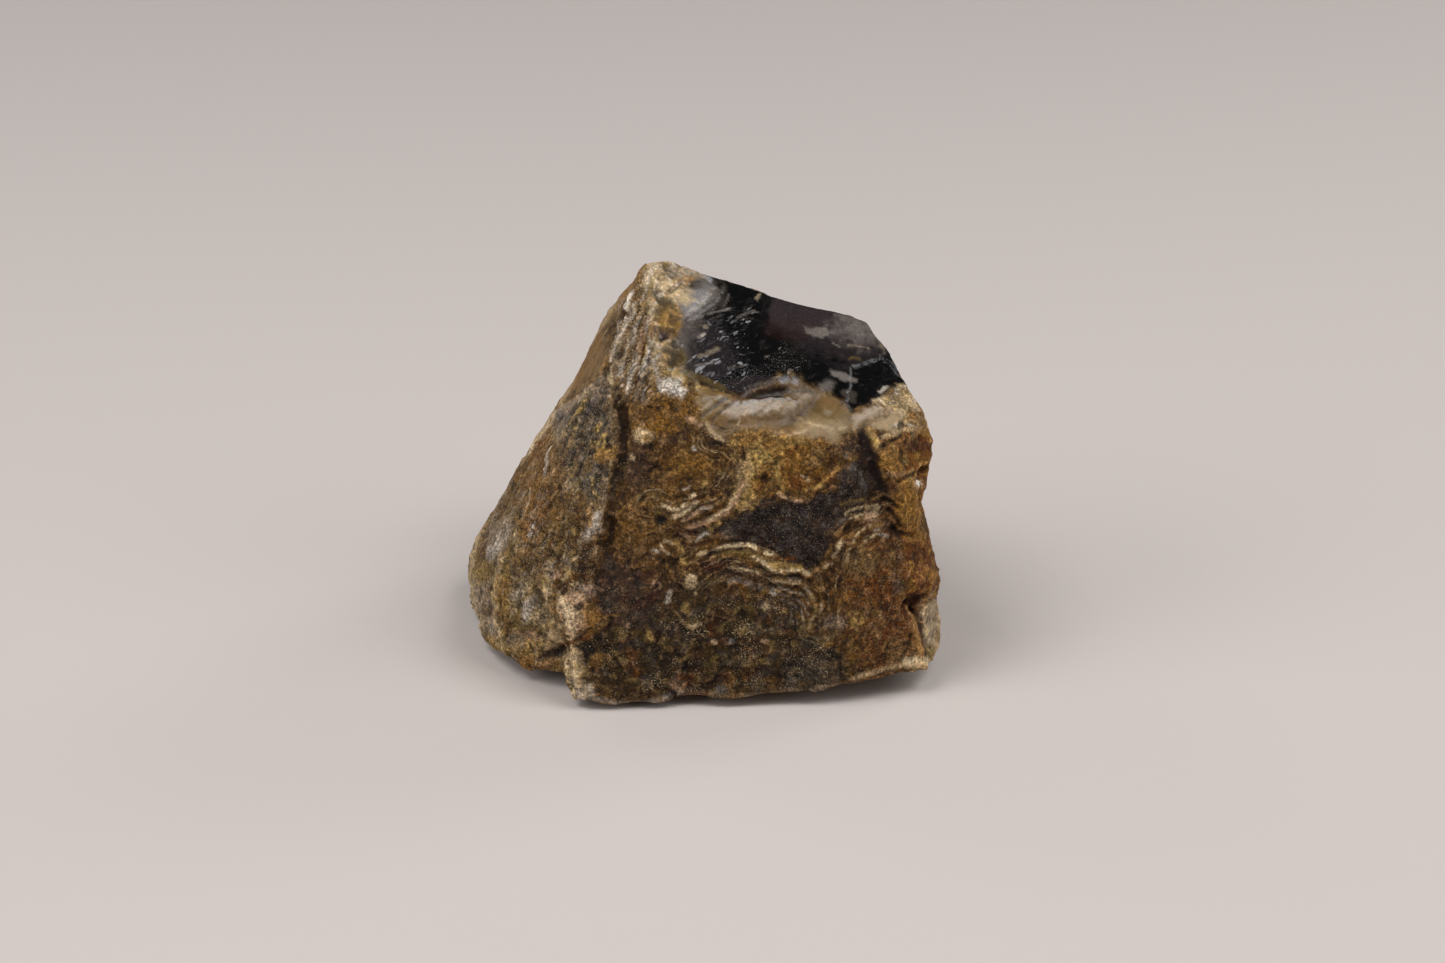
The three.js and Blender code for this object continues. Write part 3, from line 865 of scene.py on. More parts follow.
# %% [markdown]
# ## The broad faces
# Now the zones, in the order a painter would lay them: the broad faces first, then what lies on them. The
# front is iron brown, darker and more olive low down, with a plum patch, an ochre patch under the ledge, a
# rusty right side and a dark patch between them. They melt into each other, so each is a thin coat over the
# last one. A coat's rows are a colour, its size in mm, its share of the area and its strength.

# %% Front
STRANDS_LOST_IN_DARK = 0.85

coat("front", "limonite", "cream", 21, [
    ("umber", 3, 0.35, 0.8), ("amber", 3.6, 0.25, 0.6), ("plum", 2.4, 0.15, 0.5),
    ("bistre", 1.3, 0.14, 0.5), ("dun", 0.9, 0.22, 0.6),
], flecks=0.46)
coat("low front", "olive", "ivory", 31, [
    ("bistre", 2.6, 0.4, 0.7), ("umber", 3.4, 0.3, 0.7), ("rust", 3.2, 0.12, 0.5), ("slate", 2, 0.22, 0.5),
    ("moss", 1.4, 0.2, 0.5),
], flecks=np.clip(0.5 + 0.22 * lumps(2.6, 64), 0, 0.85))
coat("plum patch", "plum", "milk", 36, [
    ("bistre", 2.4, 0.4, 0.6), ("wine", 2, 0.25, 0.6), ("slate", 1, 0.12, 0.5),
], strength=0.85)
coat("ochre patch", "ochre", "straw", 41, [
    ("honey", 1.6, 0.4, 0.7), ("limonite", 1.5, 0.22, 0.7), ("straw", 1, 0.34, 0.8),
    ("rust", 1.2, 0.12, 0.7),
], strength=0.8)
coat("rust side", "rust", "cream", 51, [
    ("umber", 2.4, 0.24, 0.7), ("limonite", 1.8, 0.35, 0.8), ("dun", 1, 0.2, 0.6),
    ("blush", 0.8, 0.08, 0.6),
], strength=0.85, flecks=0.55)
strand_amount *= 1 - STRANDS_LOST_IN_DARK * zone["dark patch"]
coat("dark patch", "bistre", "milk", 56, [
    ("jet", 3, 0.35, 0.6), ("plum", 2.6, 0.35, 0.6), ("umber", 1.2, 0.25, 0.5), ("smoke", 0.9, 0.28, 0.8),
    ("slate", 0.7, 0.1, 0.8),
], strength=0.95, grit=0.9, flecks=0.6)

# %% [markdown]
# The lobe on the left is a round lump of rind, worn smoother than the front. It is greyer near its top and
# milkier at its foot, with straw-coloured crumbs. Its patches are drawn out along its own strands.

# %% Lobe
coat("lobe", "limonite", "bone", 61, [
    ("dun", 3.6, 0.45, 0.8), ("umber", 3, 0.18, 0.6), ("moss", 3.4, 0.25, 0.7), ("plum", 1.8, 0.12, 0.5),
    ("milk", 1.5, 0.16, 0.6), ("cream", 0.9, 0.1, 0.6),
], flecks=0.6)
coat("lobe grey", "slate", "straw", 71, [
    ("bistre", 1.6, 0.3, 0.6), ("dun", 1.2, 0.22, 0.7), ("ash", 0.9, 0.18, 0.7), ("straw", 0.6, 0.1, 0.8),
], strength=0.9, flecks=0.62)
coat("lobe low", "moss", "bone", 81, [
    ("straw", 3.2, 0.5, 0.7), ("limonite", 2.4, 0.18, 0.7), ("milk", 2, 0.3, 0.8), ("cream", 1.2, 0.2, 0.7),
], strength=0.9, flecks=0.35)
lay(ramp(-0.1, 0.4, lumps(1.2, 63)) * zone["lobe"] * 0.8, None, "straw")

# %% [markdown]
# Water has run down the right side and left it honey-coloured and rusty. At the bottom the rind has come off
# a small pale face.

# %% Right side
coat("buttress", "sienna", "straw", 91, [
    ("honey", 2.6, 0.5, 0.8), ("limonite", 2.2, 0.25, 0.7), ("umber", 1.2, 0.16, 0.8),
    ("rust", 2, 0.2, 0.7), ("straw", 0.9, 0.1, 0.6),
], flecks=0.36)
coat("bump", "rust", "straw", 96, [
    ("honey", 1.2, 0.3, 0.7), ("umber", 0.8, 0.25, 0.6),
], strength=0.9, flecks=0.25)
coat("pale low right", "cream", "bone", 98, [
    ("milk", 2, 0.6, 0.7), ("moss", 1.4, 0.25, 0.5),
], strength=0.95, flecks=0.1, grit=0.4)

# %% [markdown]
# The upper left has three faces: a smooth sliver, a splintered face beside it and, further down, the pale
# foot. The sliver is smooth, so it is given more gloss and less grit.

# %% Upper left
coat("sliver", "dun", "straw", 101, [
    ("amber", 2.8, 0.4, 0.8), ("straw", 2, 0.14, 0.6), ("umber", 1.6, 0.1, 0.6),
], flecks=0.1, gloss=0.35, grit=0.3)
coat("striated", "dun", "cream", 111, [
    ("limonite", 2.6, 0.35, 0.8), ("milk", 1.8, 0.3, 0.7), ("umber", 1, 0.2, 0.9), ("bone", 0.8, 0.14, 0.7),
], grit=0.8)
coat("foot", "straw", "cream", 121, [
    ("dun", 1.6, 0.2, 0.8), ("cream", 1.2, 0.4, 0.8), ("bone", 1.2, 0.25, 0.7),
])

# %% [markdown]
# On the apex, the top and the ledge the stone's inside shows: clean chalcedony, milky or nearly black. Here
# the paint is smooth and the gloss is high, and what shows depth is the small marks that come later.

# %% Apex, top and ledge
coat("apex", "moss", "bone", 131, [
    ("cream", 1.8, 0.32, 0.8), ("milk", 1.4, 0.25, 0.8), ("ochre", 1.6, 0.2, 0.7), ("umber", 0.8, 0.1, 0.8),
    ("bone", 0.8, 0.2, 0.8),
], flecks=0.35, gloss=0.3, grit=0.4)
lay(zone["top"], "jet", "ash", flecks=0.12, gloss=1.0, grit=0.2)
coat("ledge", "dun", "bone", 151, [
    ("milk", 2.2, 0.3, 0.5), ("moss", 2, 0.2, 0.4),
], flecks=0.05, gloss=0.55, grit=0.15)
coat("corner", "dun", "bone", 161, [
    ("straw", 1.8, 0.2, 0.6), ("cream", 1.4, 0.4, 0.8), ("limonite", 1.4, 0.16, 0.7),
    ("bone", 0.8, 0.16, 0.8),
], flecks=0.5, gloss=0.3, grit=0.7)
print("mean gloss", paint["gloss"].mean().round(2))

# %% [markdown]
# ## Patches, spots and lines
# The marks that a person would know this stone by. Each has a name, a finish, and its place in the picture.
# Patches are outlines with a soft edge, spots are ellipses, and lines are drawn with a width. All are laid by
# the same three short loops, face by face, and later ones cover earlier ones. Some take the very outline that
# was raised before.

# %% Laying marks
LINE_GAP_BELOW = -1.1
LINE_WHOLE_ABOVE = -0.2
STRANDS_COVERED = 0.7


def lay_patches(rows):
    """Rows of name, finish, softness in pixels, strength and outline."""
    for name, finish, soft, strength, outline in rows:
        lay(inside(outline, soft, PATCH_WANDER + soft / 3) * strength, finish)
    print("patches", len(rows))


def lay_spots(rows):
    """Rows of name, finish, place, half width, half height, tilt and strength."""
    for name, finish, place, half_width, half_height, tilt, strength in rows:
        lay(spot(place, half_width, half_height, tilt) * strength, finish)
    print("spots", len(rows))


def lay_lines(rows, wander=LINE_WANDER):
    """Rows of name, finish, width in pixels, strength and points. Lines break off here and there."""
    unbroken = ramp(LINE_GAP_BELOW, LINE_WHOLE_ABOVE, broken)
    for name, finish, width, strength, points in rows:
        mask = near(curve(points), width, wander) * strength * unbroken
        lay(mask, finish, grit=0.5, flecks=0.2)
        np.multiply(strand_amount, 1 - STRANDS_COVERED * mask, out=strand_amount)
    print("lines", len(rows))


print("raised outlines to share", len(raised))

# %% [markdown]
# ## Glassy top
# The top is a break through the dark, nearly black core. Small cracks under its surface scatter light, and they
# show as pale chips, wisps and a grey haze. They lie inside the stone, so they are painted and stay in place
# from every side, while the mirror comes from the gloss. The grey sheen towards the back edge is different: it
# is a painted reflection of bright surroundings, laid as paint over the black. Where chips are too small to
# draw one by one, an outline says how dense the material's flakes and flecks are.

# %% Painted sheen, clouds and large flakes
lay_patches([
    # Painted reflection: these three sheen patches stand for bright surroundings mirrored in the glass.
    ("low painted sheen", "smoke", 12, 0.55, [
        (770, 300), (868, 330), (890, 352), (862, 372), (836, 362), (804, 350), (768, 330),
    ]),
    ("painted sheen by the back edge", "smoke", 3, 0.8, [
        (774, 292), (815, 300), (874, 318), (884, 344), (850, 346), (812, 334), (768, 322),
    ]),
    ("bright painted sheen", "ash", 14, 0.8, [(836, 312), (872, 320), (878, 338), (858, 344), (836, 332)]),
    ("black corner", "jet", 1.5, 0.95, [
        (852, 368), (880, 357), (893, 365), (904, 378), (885, 386), (874, 391), (852, 412), (846, 402),
    ]),
    ("crust at the back right", "milk", 2, 0.5, [(869, 329), (876, 337), (884, 352), (886, 344), (877, 332)]),
    ("smoke round the cloud", "slate", 9, 0.75, [
        (700, 274), (722, 288), (724, 300), (706, 312), (700, 332), (692, 352), (676, 360), (672, 300),
    ]),
    ("cloud", "ash", 6, 0.8, [
        (704, 277), (718, 289), (717, 299), (704, 307), (692, 320), (680, 320), (676, 306), (684, 290),
    ]),
    ("white of the cloud", "mist", 5, 0.45, [
        (690, 292), (712, 288), (708, 300), (694, 312), (682, 316), (680, 304),
    ]),
    ("pink edge of the cloud", "cream", 4, 0.8, [
        (656, 282), (672, 283), (688, 290), (696, 297), (686, 305), (676, 301), (662, 292),
    ]),
    ("brown behind the cloud", "umber", 5, 0.5, [(672, 316), (684, 320), (686, 332), (676, 340)]),
    ("blue cloud", "ash", 7, 0.6, [
        (678, 322), (690, 324), (696, 334), (692, 346), (686, 358), (680, 351), (676, 342),
    ]),
    ("large flake", "ash", 1.2, 0.95, [
        (805, 327), (812, 329), (817, 326), (826, 328), (830, 333), (822, 337), (815, 336), (807, 332),
    ]),
    ("second flake", "ash", 1.2, 0.95, [
        (830, 368), (840, 371), (849, 373), (856, 378), (856, 381), (847, 380), (837, 378), (832, 372),
    ]),
    ("third flake", "slate", 1.2, 0.6, [
        (840, 391), (849, 388), (856, 393), (855, 402), (849, 400), (844, 397),
    ]),
    ("pink haze", "ash", 3, 0.7, [(818, 384), (830, 378), (835, 382), (830, 391), (821, 391)]),
    ("olive flake", "slate", 2, 0.8, [(838, 400), (849, 402), (853, 409), (849, 411), (840, 407)]),
    ("corner flake", "bone", 1.2, 0.8, [(877, 391), (883, 386), (889, 385), (887, 388), (880, 393)]),
])

# %% Haze and flecks in the glass
lay_spots([
    ("warm glow", "wine", (790, 330), 26, 12, 0, 0.12),
    ("haze by the ledge", "smoke", (742, 384), 30, 7, 8, 0.5),
    ("haze by the windows", "slate", (686, 366), 9, 16, 20, 0.5),
    ("haze in the fan", "smoke", (708, 352), 26, 30, 30, 0.5),
    ("white fleck in the fan", "bone", (702, 335), 4, 1.6, 20, 0.8),
    ("pink fleck in the fan", "milk", (706, 328), 2.4, 1.8, 0, 0.7),
    ("pale fleck", "ash", (767, 357), 2, 1.4, 0, 0.8),
    ("fleck by the edge", "milk", (758, 297), 1.5, 4.5, -25, 0.8),
])

# %% Streaks and wisps in the glass
lay_lines([
    ("flake under the cloud", "milk", 4, 0.6, [(699, 356), (708, 353), (717, 348)]),
    ("low flake", "ash", 2.6, 0.7, [(696, 366), (705, 364), (714, 362)]),
    ("long flake", "ash", 2, 0.6, [(729, 368), (737, 368), (744, 365)]),
    ("first wisp", "bone", 2, 0.35, [(716, 287), (706, 296), (694, 302)]),
    ("second wisp", "chalk", 2, 0.35, [(712, 294), (700, 303), (688, 311)]),
    ("third wisp", "bone", 2, 0.35, [(704, 303), (692, 312), (680, 318)]),
    ("fourth wisp", "mist", 2, 0.4, [(708, 308), (697, 316), (684, 323)]),
    ("fifth wisp", "mist", 1.8, 0.4, [(722, 292), (716, 302), (706, 308)]),
    ("first white streak", "ash", 2.2, 0.8, [(693, 320), (706, 314), (719, 311), (731, 308)]),
    ("second white streak", "slate", 1.8, 0.8, [(698, 324), (710, 320), (722, 315)]),
    ("third white streak", "slate", 1.8, 0.8, [(690, 330), (700, 326), (712, 324)]),
    ("upright streak", "ash", 1.8, 0.5, [(723, 307), (727, 300), (729, 294)]),
    ("streak in the middle", "ash", 2, 0.7, [(738, 318), (746, 313), (755, 311)]),
    ("thin streak", "slate", 1.6, 0.7, [(736, 322), (745, 319), (752, 318)]),
    ("right streak", "milk", 2, 0.6, [(847, 346), (857, 345), (868, 348)]),
    ("left right streak", "ash", 2, 0.7, [(833, 343), (836, 345), (840, 347)]),
    ("ochre streak", "moss", 2.4, 0.6, [(849, 359), (854, 357), (860, 359)]),
    ("blue edge of the apex", "mist", 5, 0.8, [(688, 268), (697, 270), (705, 275), (710, 280)]),
], wander=1)

# %% Fields of small chips
FIELD_EDGE = 10
FIELD_WANDER = 8
FAN = [
    (690, 322), (712, 306), (744, 306), (752, 326), (744, 348), (752, 376), (716, 384), (686, 372),
    (684, 346),
]
LOW_SPECKS = [(700, 380), (756, 362), (780, 342), (802, 348), (806, 374), (790, 380), (766, 384), (744, 394)]
lay(inside(FAN, FIELD_EDGE, FIELD_WANDER) * zone["top"], None, "mist", flakes=0.24, flecks=0.46)
lay(inside(LOW_SPECKS, FIELD_EDGE, FIELD_WANDER) * zone["top"], flakes=0.1, flecks=0.62)
print("points with flakes", int((paint["flakes"] > 0.05).sum()))

# %% [markdown]
# ## Apex and its windows
# The apex is a thin pale crust. It has chipped off in two places, and there clear brown stone shows as through
# a window. A window is painted dark at its foot as painted shade and bright at its heart as painted light,
# which is how light falls into clear stone. The pit at the foot of the first window is painted dark too, with a
# painted glint in it.

# %% Apex and windows
lay_patches([
    ("light of the apex", "ivory", 4, 0.42, [
        (649, 262), (663, 266), (661, 278), (650, 284), (640, 288), (642, 272),
    ]),
    ("grey tan of the apex", "milk", 3, 0.9, [
        (663, 269), (689, 267), (702, 271), (706, 278), (692, 280), (670, 276),
    ]),
    ("first window", "moss", 4, 0.9, [
        (655, 292), (668, 292), (678, 304), (680, 322), (676, 336), (664, 336), (655, 320),
    ]),
    ("heart of the window", "honey", 6, 0.6, [
        (658, 306), (678, 304), (679, 322), (675, 335), (662, 337), (655, 322),
    ]),
    ("dark foot of the window", "umber", 4, 0.8, [
        (652, 324), (664, 326), (676, 326), (674, 340), (660, 340),
    ]),
    ("second window", "moss", 4, 0.9, raised["second window"]),
    ("white crust by the ledge", "chalk", 4, 0.7, [
        (662, 380), (676, 378), (686, 388), (684, 396), (672, 394), (662, 388),
    ]),
])

# %% Pit and rings of the windows
lay_spots([
    ("ochre of the apex", "ochre", (688, 278), 6, 3.5, -10, 0.7),
    # Painted shade in the pit at the window's foot, and a painted glint in it.
    ("pit by the window", "bistre", (664, 336), 4.5, 2.4, 0, 0.8),
    ("glint in the pit", "bone", (661, 334), 2.2, 1.4, 0, 0.9),
    ("shade of the window", "olive", (673, 355), 11, 10, 0, 0.8),
    ("ring in the window", "straw", (667, 355), 4.5, 4, 0, 0.45),
])

# %% Crumbs and streaks of the apex
lay_lines([
    ("yellow of the window", "straw", 5, 0.6, [(664, 372), (674, 374), (686, 378)]),
    ("yellow streak", "straw", 3, 0.6, [(682, 381), (692, 386), (704, 388), (718, 390)]),
    ("olive streak", "moss", 6, 0.5, [(684, 372), (698, 376), (712, 382), (724, 388)]),
    ("line in the window", "straw", 2, 0.6, [(658, 324), (666, 323), (676, 325)]),
    ("crumbs of the ridge", "blush", 6, 0.7, [(650, 318), (644, 330), (640, 344), (638, 354)]),
    ("white crumbs", "bone", 4, 0.5, [(648, 320), (645, 330), (650, 342), (660, 346)]),
    ("lower crumbs", "bone", 5, 0.5, [(652, 360), (657, 372), (660, 386)]),
    ("white dash", "bone", 3, 0.7, [(629, 382), (627, 386), (625, 390)]),
    ("second white dash", "bone", 3, 0.6, [(621, 368), (620, 372), (622, 375)]),
])

# %% [markdown]
# ## Splintered face
# The face left of the apex is splintered into ribs. Painted highlight on their edges and painted shade in the
# gaps between them are drawn along the same lines as the ribs of the relief, so that paint and light agree.
# Painted rim light runs along the sliver's outline, and a painted highlight along the lobe's upper edge.

# %% Splintered face
lay_lines([
    # Painted rim light along the sliver's outline.
    ("painted rim light of the sliver", "cream", 5, 0.5, [
        (640, 262), (622, 290), (604, 318), (586, 350), (572, 382), (560, 404),
    ]),
    ("rim of the striated face", "ochre", 4, 0.6, [(640, 272), (628, 290), (616, 308)]),
    # Painted shade beside the sliver and in the gaps between the ribs, painted highlight on the ribs.
    ("shade beside the sliver", "umber", 6, 0.6, [(622, 312), (612, 332), (607, 350)]),
    ("first dark line", "umber", 3, 0.9, [(636, 288), (628, 302), (621, 317)]),
    ("first light line", "chalk", 2.4, 0.8, raised["first rib"]),
    ("second light line", "bone", 2.2, 0.8, raised["second rib"]),
    ("second dark line", "umber", 4, 0.8, [(626, 340), (618, 356), (614, 376)]),
    ("third light line", "milk", 3, 0.7, [(640, 316), (630, 334), (624, 356), (620, 380)]),
    ("third dark line", "limonite", 4, 0.7, [(648, 330), (638, 356), (634, 380)]),
    # Painted highlight along the lobe's upper edge.
    ("painted highlight on the lobe's edge", "milk", 5, 0.8, [(602, 376), (590, 392), (572, 404), (562, 416)]),
])
lay_spots([
    ("cream patch of the ridge", "cream", (610, 378), 4, 7, 10, 0.7),
    ("glint on the ridge", "bone", (610, 397), 1.8, 1.8, 0, 1.0),
])

# %% [markdown]
# ## Milky ledge
# Under the glassy top lies a roll of milky chalcedony, folded like thick cloth. Its lip and rolls are pale and
# a little blue, with a painted highlight along the top of the lip. Its hollow is dark with painted shade, as
# are the parts under its rim, the lip and the rolls, and between them clear olive stone shows. The folds are
# drawn over the raised ones, broad patches first and narrow lines after them.

# %% Lip, rolls and hollow
lay_patches([
    ("left of the ledge", "moss", 5, 0.35, [
        (694, 396), (713, 392), (738, 401), (724, 411), (714, 420), (704, 422), (700, 408),
    ]),
    ("body of the ledge", "dun", 6, 0.7, [
        (712, 422), (722, 414), (742, 420), (770, 418), (796, 408), (800, 420), (786, 430), (740, 434),
        (716, 432),
    ]),
    ("lip of the ledge", "bone", 4, 0.55, [
        (721, 412), (735, 402), (749, 403), (760, 401), (774, 399), (789, 399), (798, 404), (795, 411),
        (784, 413), (768, 415), (750, 417), (738, 419), (728, 416),
    ]),
    # Painted shade in the hollow of the ledge.
    ("hollow of the ledge", "bistre", 4, 0.85, [
        (748, 398), (760, 391), (774, 386), (786, 386), (789, 391), (783, 396), (767, 398),
    ]),
    ("right rim", "slate", 4, 0.9, raised["right rim"]),
    ("beige roll", "milk", 4, 0.9, raised["beige roll"]),
    ("olive of the ledge", "moss", 9, 0.7, [
        (808, 407), (818, 401), (830, 410), (839, 410), (850, 418), (853, 427), (838, 434), (820, 426),
        (808, 418),
    ]),
    ("cream below the ledge", "cream", 6, 0.3, [
        (795, 420), (806, 416), (820, 420), (834, 423), (844, 421), (844, 433), (828, 437), (808, 434),
        (794, 432),
    ]),
    ("olive beside the lip", "olive", 6, 0.45, [
        (786, 414), (798, 406), (808, 402), (818, 402), (824, 408), (812, 414), (800, 420), (784, 424),
    ]),
    ("second roll", "bone", 4, 0.45, raised["second roll"]),
    ("right of the ledge", "cream", 7, 0.45, [
        (870, 418), (890, 410), (905, 413), (904, 424), (884, 431), (871, 429),
    ]),
    ("cream of the corner", "cream", 6, 0.4, [
        (876, 401), (890, 397), (909, 390), (917, 400), (921, 409), (900, 409),
    ]),
    ("amber of the corner", "amber", 6, 0.75, [(907, 411), (919, 406), (928, 420), (922, 428), (908, 427)]),
])

# %% Folds of the ledge
lay_lines([
    # Painted shade round the hollow and under its rim.
    ("painted shade round the hollow", "umber", 9, 0.6, [(736, 399), (752, 393), (770, 385), (788, 386)]),
    ("grey rim of the hollow", "ash", 3, 0.6, [(742, 396), (756, 389), (768, 383), (780, 380)]),
    ("blue white of the rim", "mist", 6, 0.55, [(782, 380), (790, 377), (796, 382)]),
    ("painted shade under the rim", "bistre", 3, 0.7, [(772, 390), (780, 387), (788, 389)]),
    ("first fold", "slate", 3, 0.7, raised["first fold"]),
    ("second fold", "slate", 2.5, 0.7, raised["second fold"]),
    ("light between the folds", "bone", 3, 0.25, [(700, 412), (710, 403), (720, 397)]),
    # Blue-white of the lip with a painted highlight along its top.
    ("painted highlight on the blue top of the lip", "mist", 4, 0.7, [(736, 404), (750, 404), (764, 402), (780, 401), (794, 404)]),
    ("cream stroke", "ivory", 2.4, 0.7, [(746, 412), (741, 418), (738, 425)]),
    ("grey left of the lip", "mist", 5, 0.25, [(704, 400), (716, 398), (728, 402)]),
    ("shade under the lip", "limonite", 4, 0.35, [
        (716, 424), (730, 421), (746, 423), (764, 420), (782, 416),
    ]),
    ("fold of the lip", "slate", 2, 0.6, [(752, 417), (762, 411), (772, 404)]),
    ("second fold of the lip", "dun", 2.4, 0.7, [(770, 417), (782, 410), (792, 402)]),
    ("light under the lip", "milk", 5, 0.2, [(724, 424), (738, 428), (756, 427), (776, 424), (790, 420)]),
    ("tan under the lip", "dun", 3, 0.6, [(728, 430), (750, 432), (776, 430)]),
    ("fold in the lip", "milk", 4, 0.4, [(764, 417), (776, 410), (790, 406)]),
    ("shade between the rolls", "umber", 6, 0.55, [(792, 420), (804, 412), (812, 404)]),
    ("crumbs below the ledge", "ivory", 3, 0.3, [(808, 422), (820, 427), (834, 429), (846, 428)]),
    ("left crumbs", "cream", 4, 0.55, [(788, 436), (796, 432), (806, 430)]),
    ("white streak of the corner", "bone", 2.6, 0.8, [(893, 425), (902, 424), (911, 426)]),
    ("shade below the second roll", "dun", 5, 0.7, [(862, 426), (874, 420), (888, 415)]),
    ("pink patch by the ledge", "blush", 6, 0.7, [(688, 418), (696, 420), (700, 424)]),
    ("cream edge below the ledge", "cream", 4, 0.7, [(707, 424), (714, 434), (722, 440)]),
])
lay_spots([
    ("whitish blob", "milk", (827, 412), 4, 3, 0, 0.6),
    ("dark grain", "umber", (886, 416), 1.6, 1.6, 0, 0.8),
])

# %% [markdown]
# ## Rings and swirls
# Agate grows in thin layers on the wall of a hollow. A break across them shows rings round an eye and swirls
# that run side by side. Each strand is drawn with a name of its own, pale strands and the dark lines between
# them in turn, because evenly spaced rings from a formula would look turned on a lathe.

# %% Ovals, dots and blobs
lay_spots([
    ("brown oval", "limonite", (684, 474), 32, 27, 25, 0.7),
    ("heart of the oval", "honey", (688, 464), 20, 11, 10, 0.35),
    ("grey hollow by the groove", "plum", (636, 468), 13, 26, 0, 0.7),
    ("ring spot", "cream", (643, 436), 10, 6.5, -25, 0.8),
    ("heart of the ring spot", "ochre", (647, 439), 3.4, 3.2, 0, 0.95),
    ("light by the ring spot", "blush", (643, 425), 3, 2, 20, 0.7),
    ("fleck by the groove", "cream", (632, 457), 2.2, 4, 0, 0.9),
    ("white dot", "chalk", (694, 449), 2.6, 2.2, 0, 0.8),
    ("yellow dot", "straw", (704, 482), 3.4, 3.4, 0, 0.8),
    ("black spot", "jet", (660, 521), 5, 5, 0, 0.95),
    ("ochre above the spot", "straw", (658, 514), 3, 2, 0, 0.8),
    ("beige blob", "cream", (691, 581), 5, 7.5, 25, 0.75),
    ("light of the beige blob", "ivory", (693, 577), 3, 4, 30, 0.7),
    ("second beige blob", "straw", (686, 607), 5, 5, 0, 0.8),
    ("third beige blob", "cream", (695, 625), 7, 3, 10, 0.7),
    ("crumbs by the blob", "straw", (684, 560), 4, 4, 0, 0.6),
    ("wine between the arches", "wine", (712, 565), 13, 7, 0, 0.75),
    ("bright ochre by the swirl", "straw", (743, 498), 12, 13, 40, 0.7),
    ("bright ochre above it", "cream", (744, 470), 8, 22, -10, 0.35),
    ("light in the ochre", "straw", (760, 455), 12, 7, 0, 0.5),
    ("wine by the ochre", "wine", (743, 455), 4, 7, 0, 0.8),
    ("grey by the dark patch", "slate", (728, 532), 9, 6, -20, 0.7),
])

# %% Rings and left swirl
lay_lines([
    ("first ring", "ivory", 3, 0.95, raised["first ring"]),
    ("short white", "bone", 2, 0.8, [(683, 489), (687, 487), (690, 485)]),
    ("broad cream", "ivory", 5, 0.8, [(675, 516), (681, 513), (687, 509), (692, 505), (696, 502)]),
    ("second cream", "blush", 4, 0.9, [(682, 520), (689, 517), (696, 513), (703, 511), (709, 507)]),
    ("white on the cream", "bone", 2.2, 0.8, [(700, 509), (706, 507), (710, 508)]),
    ("dark between the rings", "wine", 3, 0.7, [(672, 513), (682, 511), (690, 506), (698, 498)]),
    ("second dark between", "umber", 2.4, 0.8, [(678, 519), (688, 514), (697, 508), (706, 501)]),
    ("outer band", "blush", 6, 0.75, [
        (690, 528), (704, 524), (712, 520), (720, 515), (727, 510), (733, 504), (737, 497), (740, 490),
        (742, 483),
    ]),
    ("light in the outer band", "ivory", 2.2, 0.6, [
        (706, 521), (716, 516), (724, 510), (730, 504), (735, 496),
    ]),
    ("line beside the band", "umber", 2, 0.8, [(700, 519), (710, 516), (718, 510), (724, 504), (730, 495)]),
    ("pink strand", "blush", 3, 0.75, [(683, 530), (691, 528), (700, 526), (709, 524)]),
    ("red strand", "wine", 3, 0.9, raised["red strand"]),
    ("white strand", "bone", 3.4, 0.65, [(696, 541), (701, 536), (708, 533)]),
    ("yellow strand", "straw", 4, 0.8, [(709, 531), (714, 527), (719, 523)]),
    ("pale pink below", "blush", 4, 0.7, [(680, 536), (686, 536), (690, 540)]),
    ("dark below the strands", "wine", 3, 0.8, [(690, 545), (702, 544), (714, 540), (722, 535)]),
    ("curl", "bone", 2, 0.7, [(650, 552), (653, 549), (658, 550), (660, 554)]),
    ("second curl", "ivory", 2, 0.8, [(661, 545), (664, 550), (669, 555)]),
    ("third curl", "ash", 2, 0.7, [(645, 558), (648, 554), (652, 556)]),
    ("small cream", "cream", 3, 0.8, [(665, 541), (669, 541), (671, 544)]),
    ("olive strand", "straw", 4, 0.6, [(672, 540), (679, 545), (684, 552)]),
])

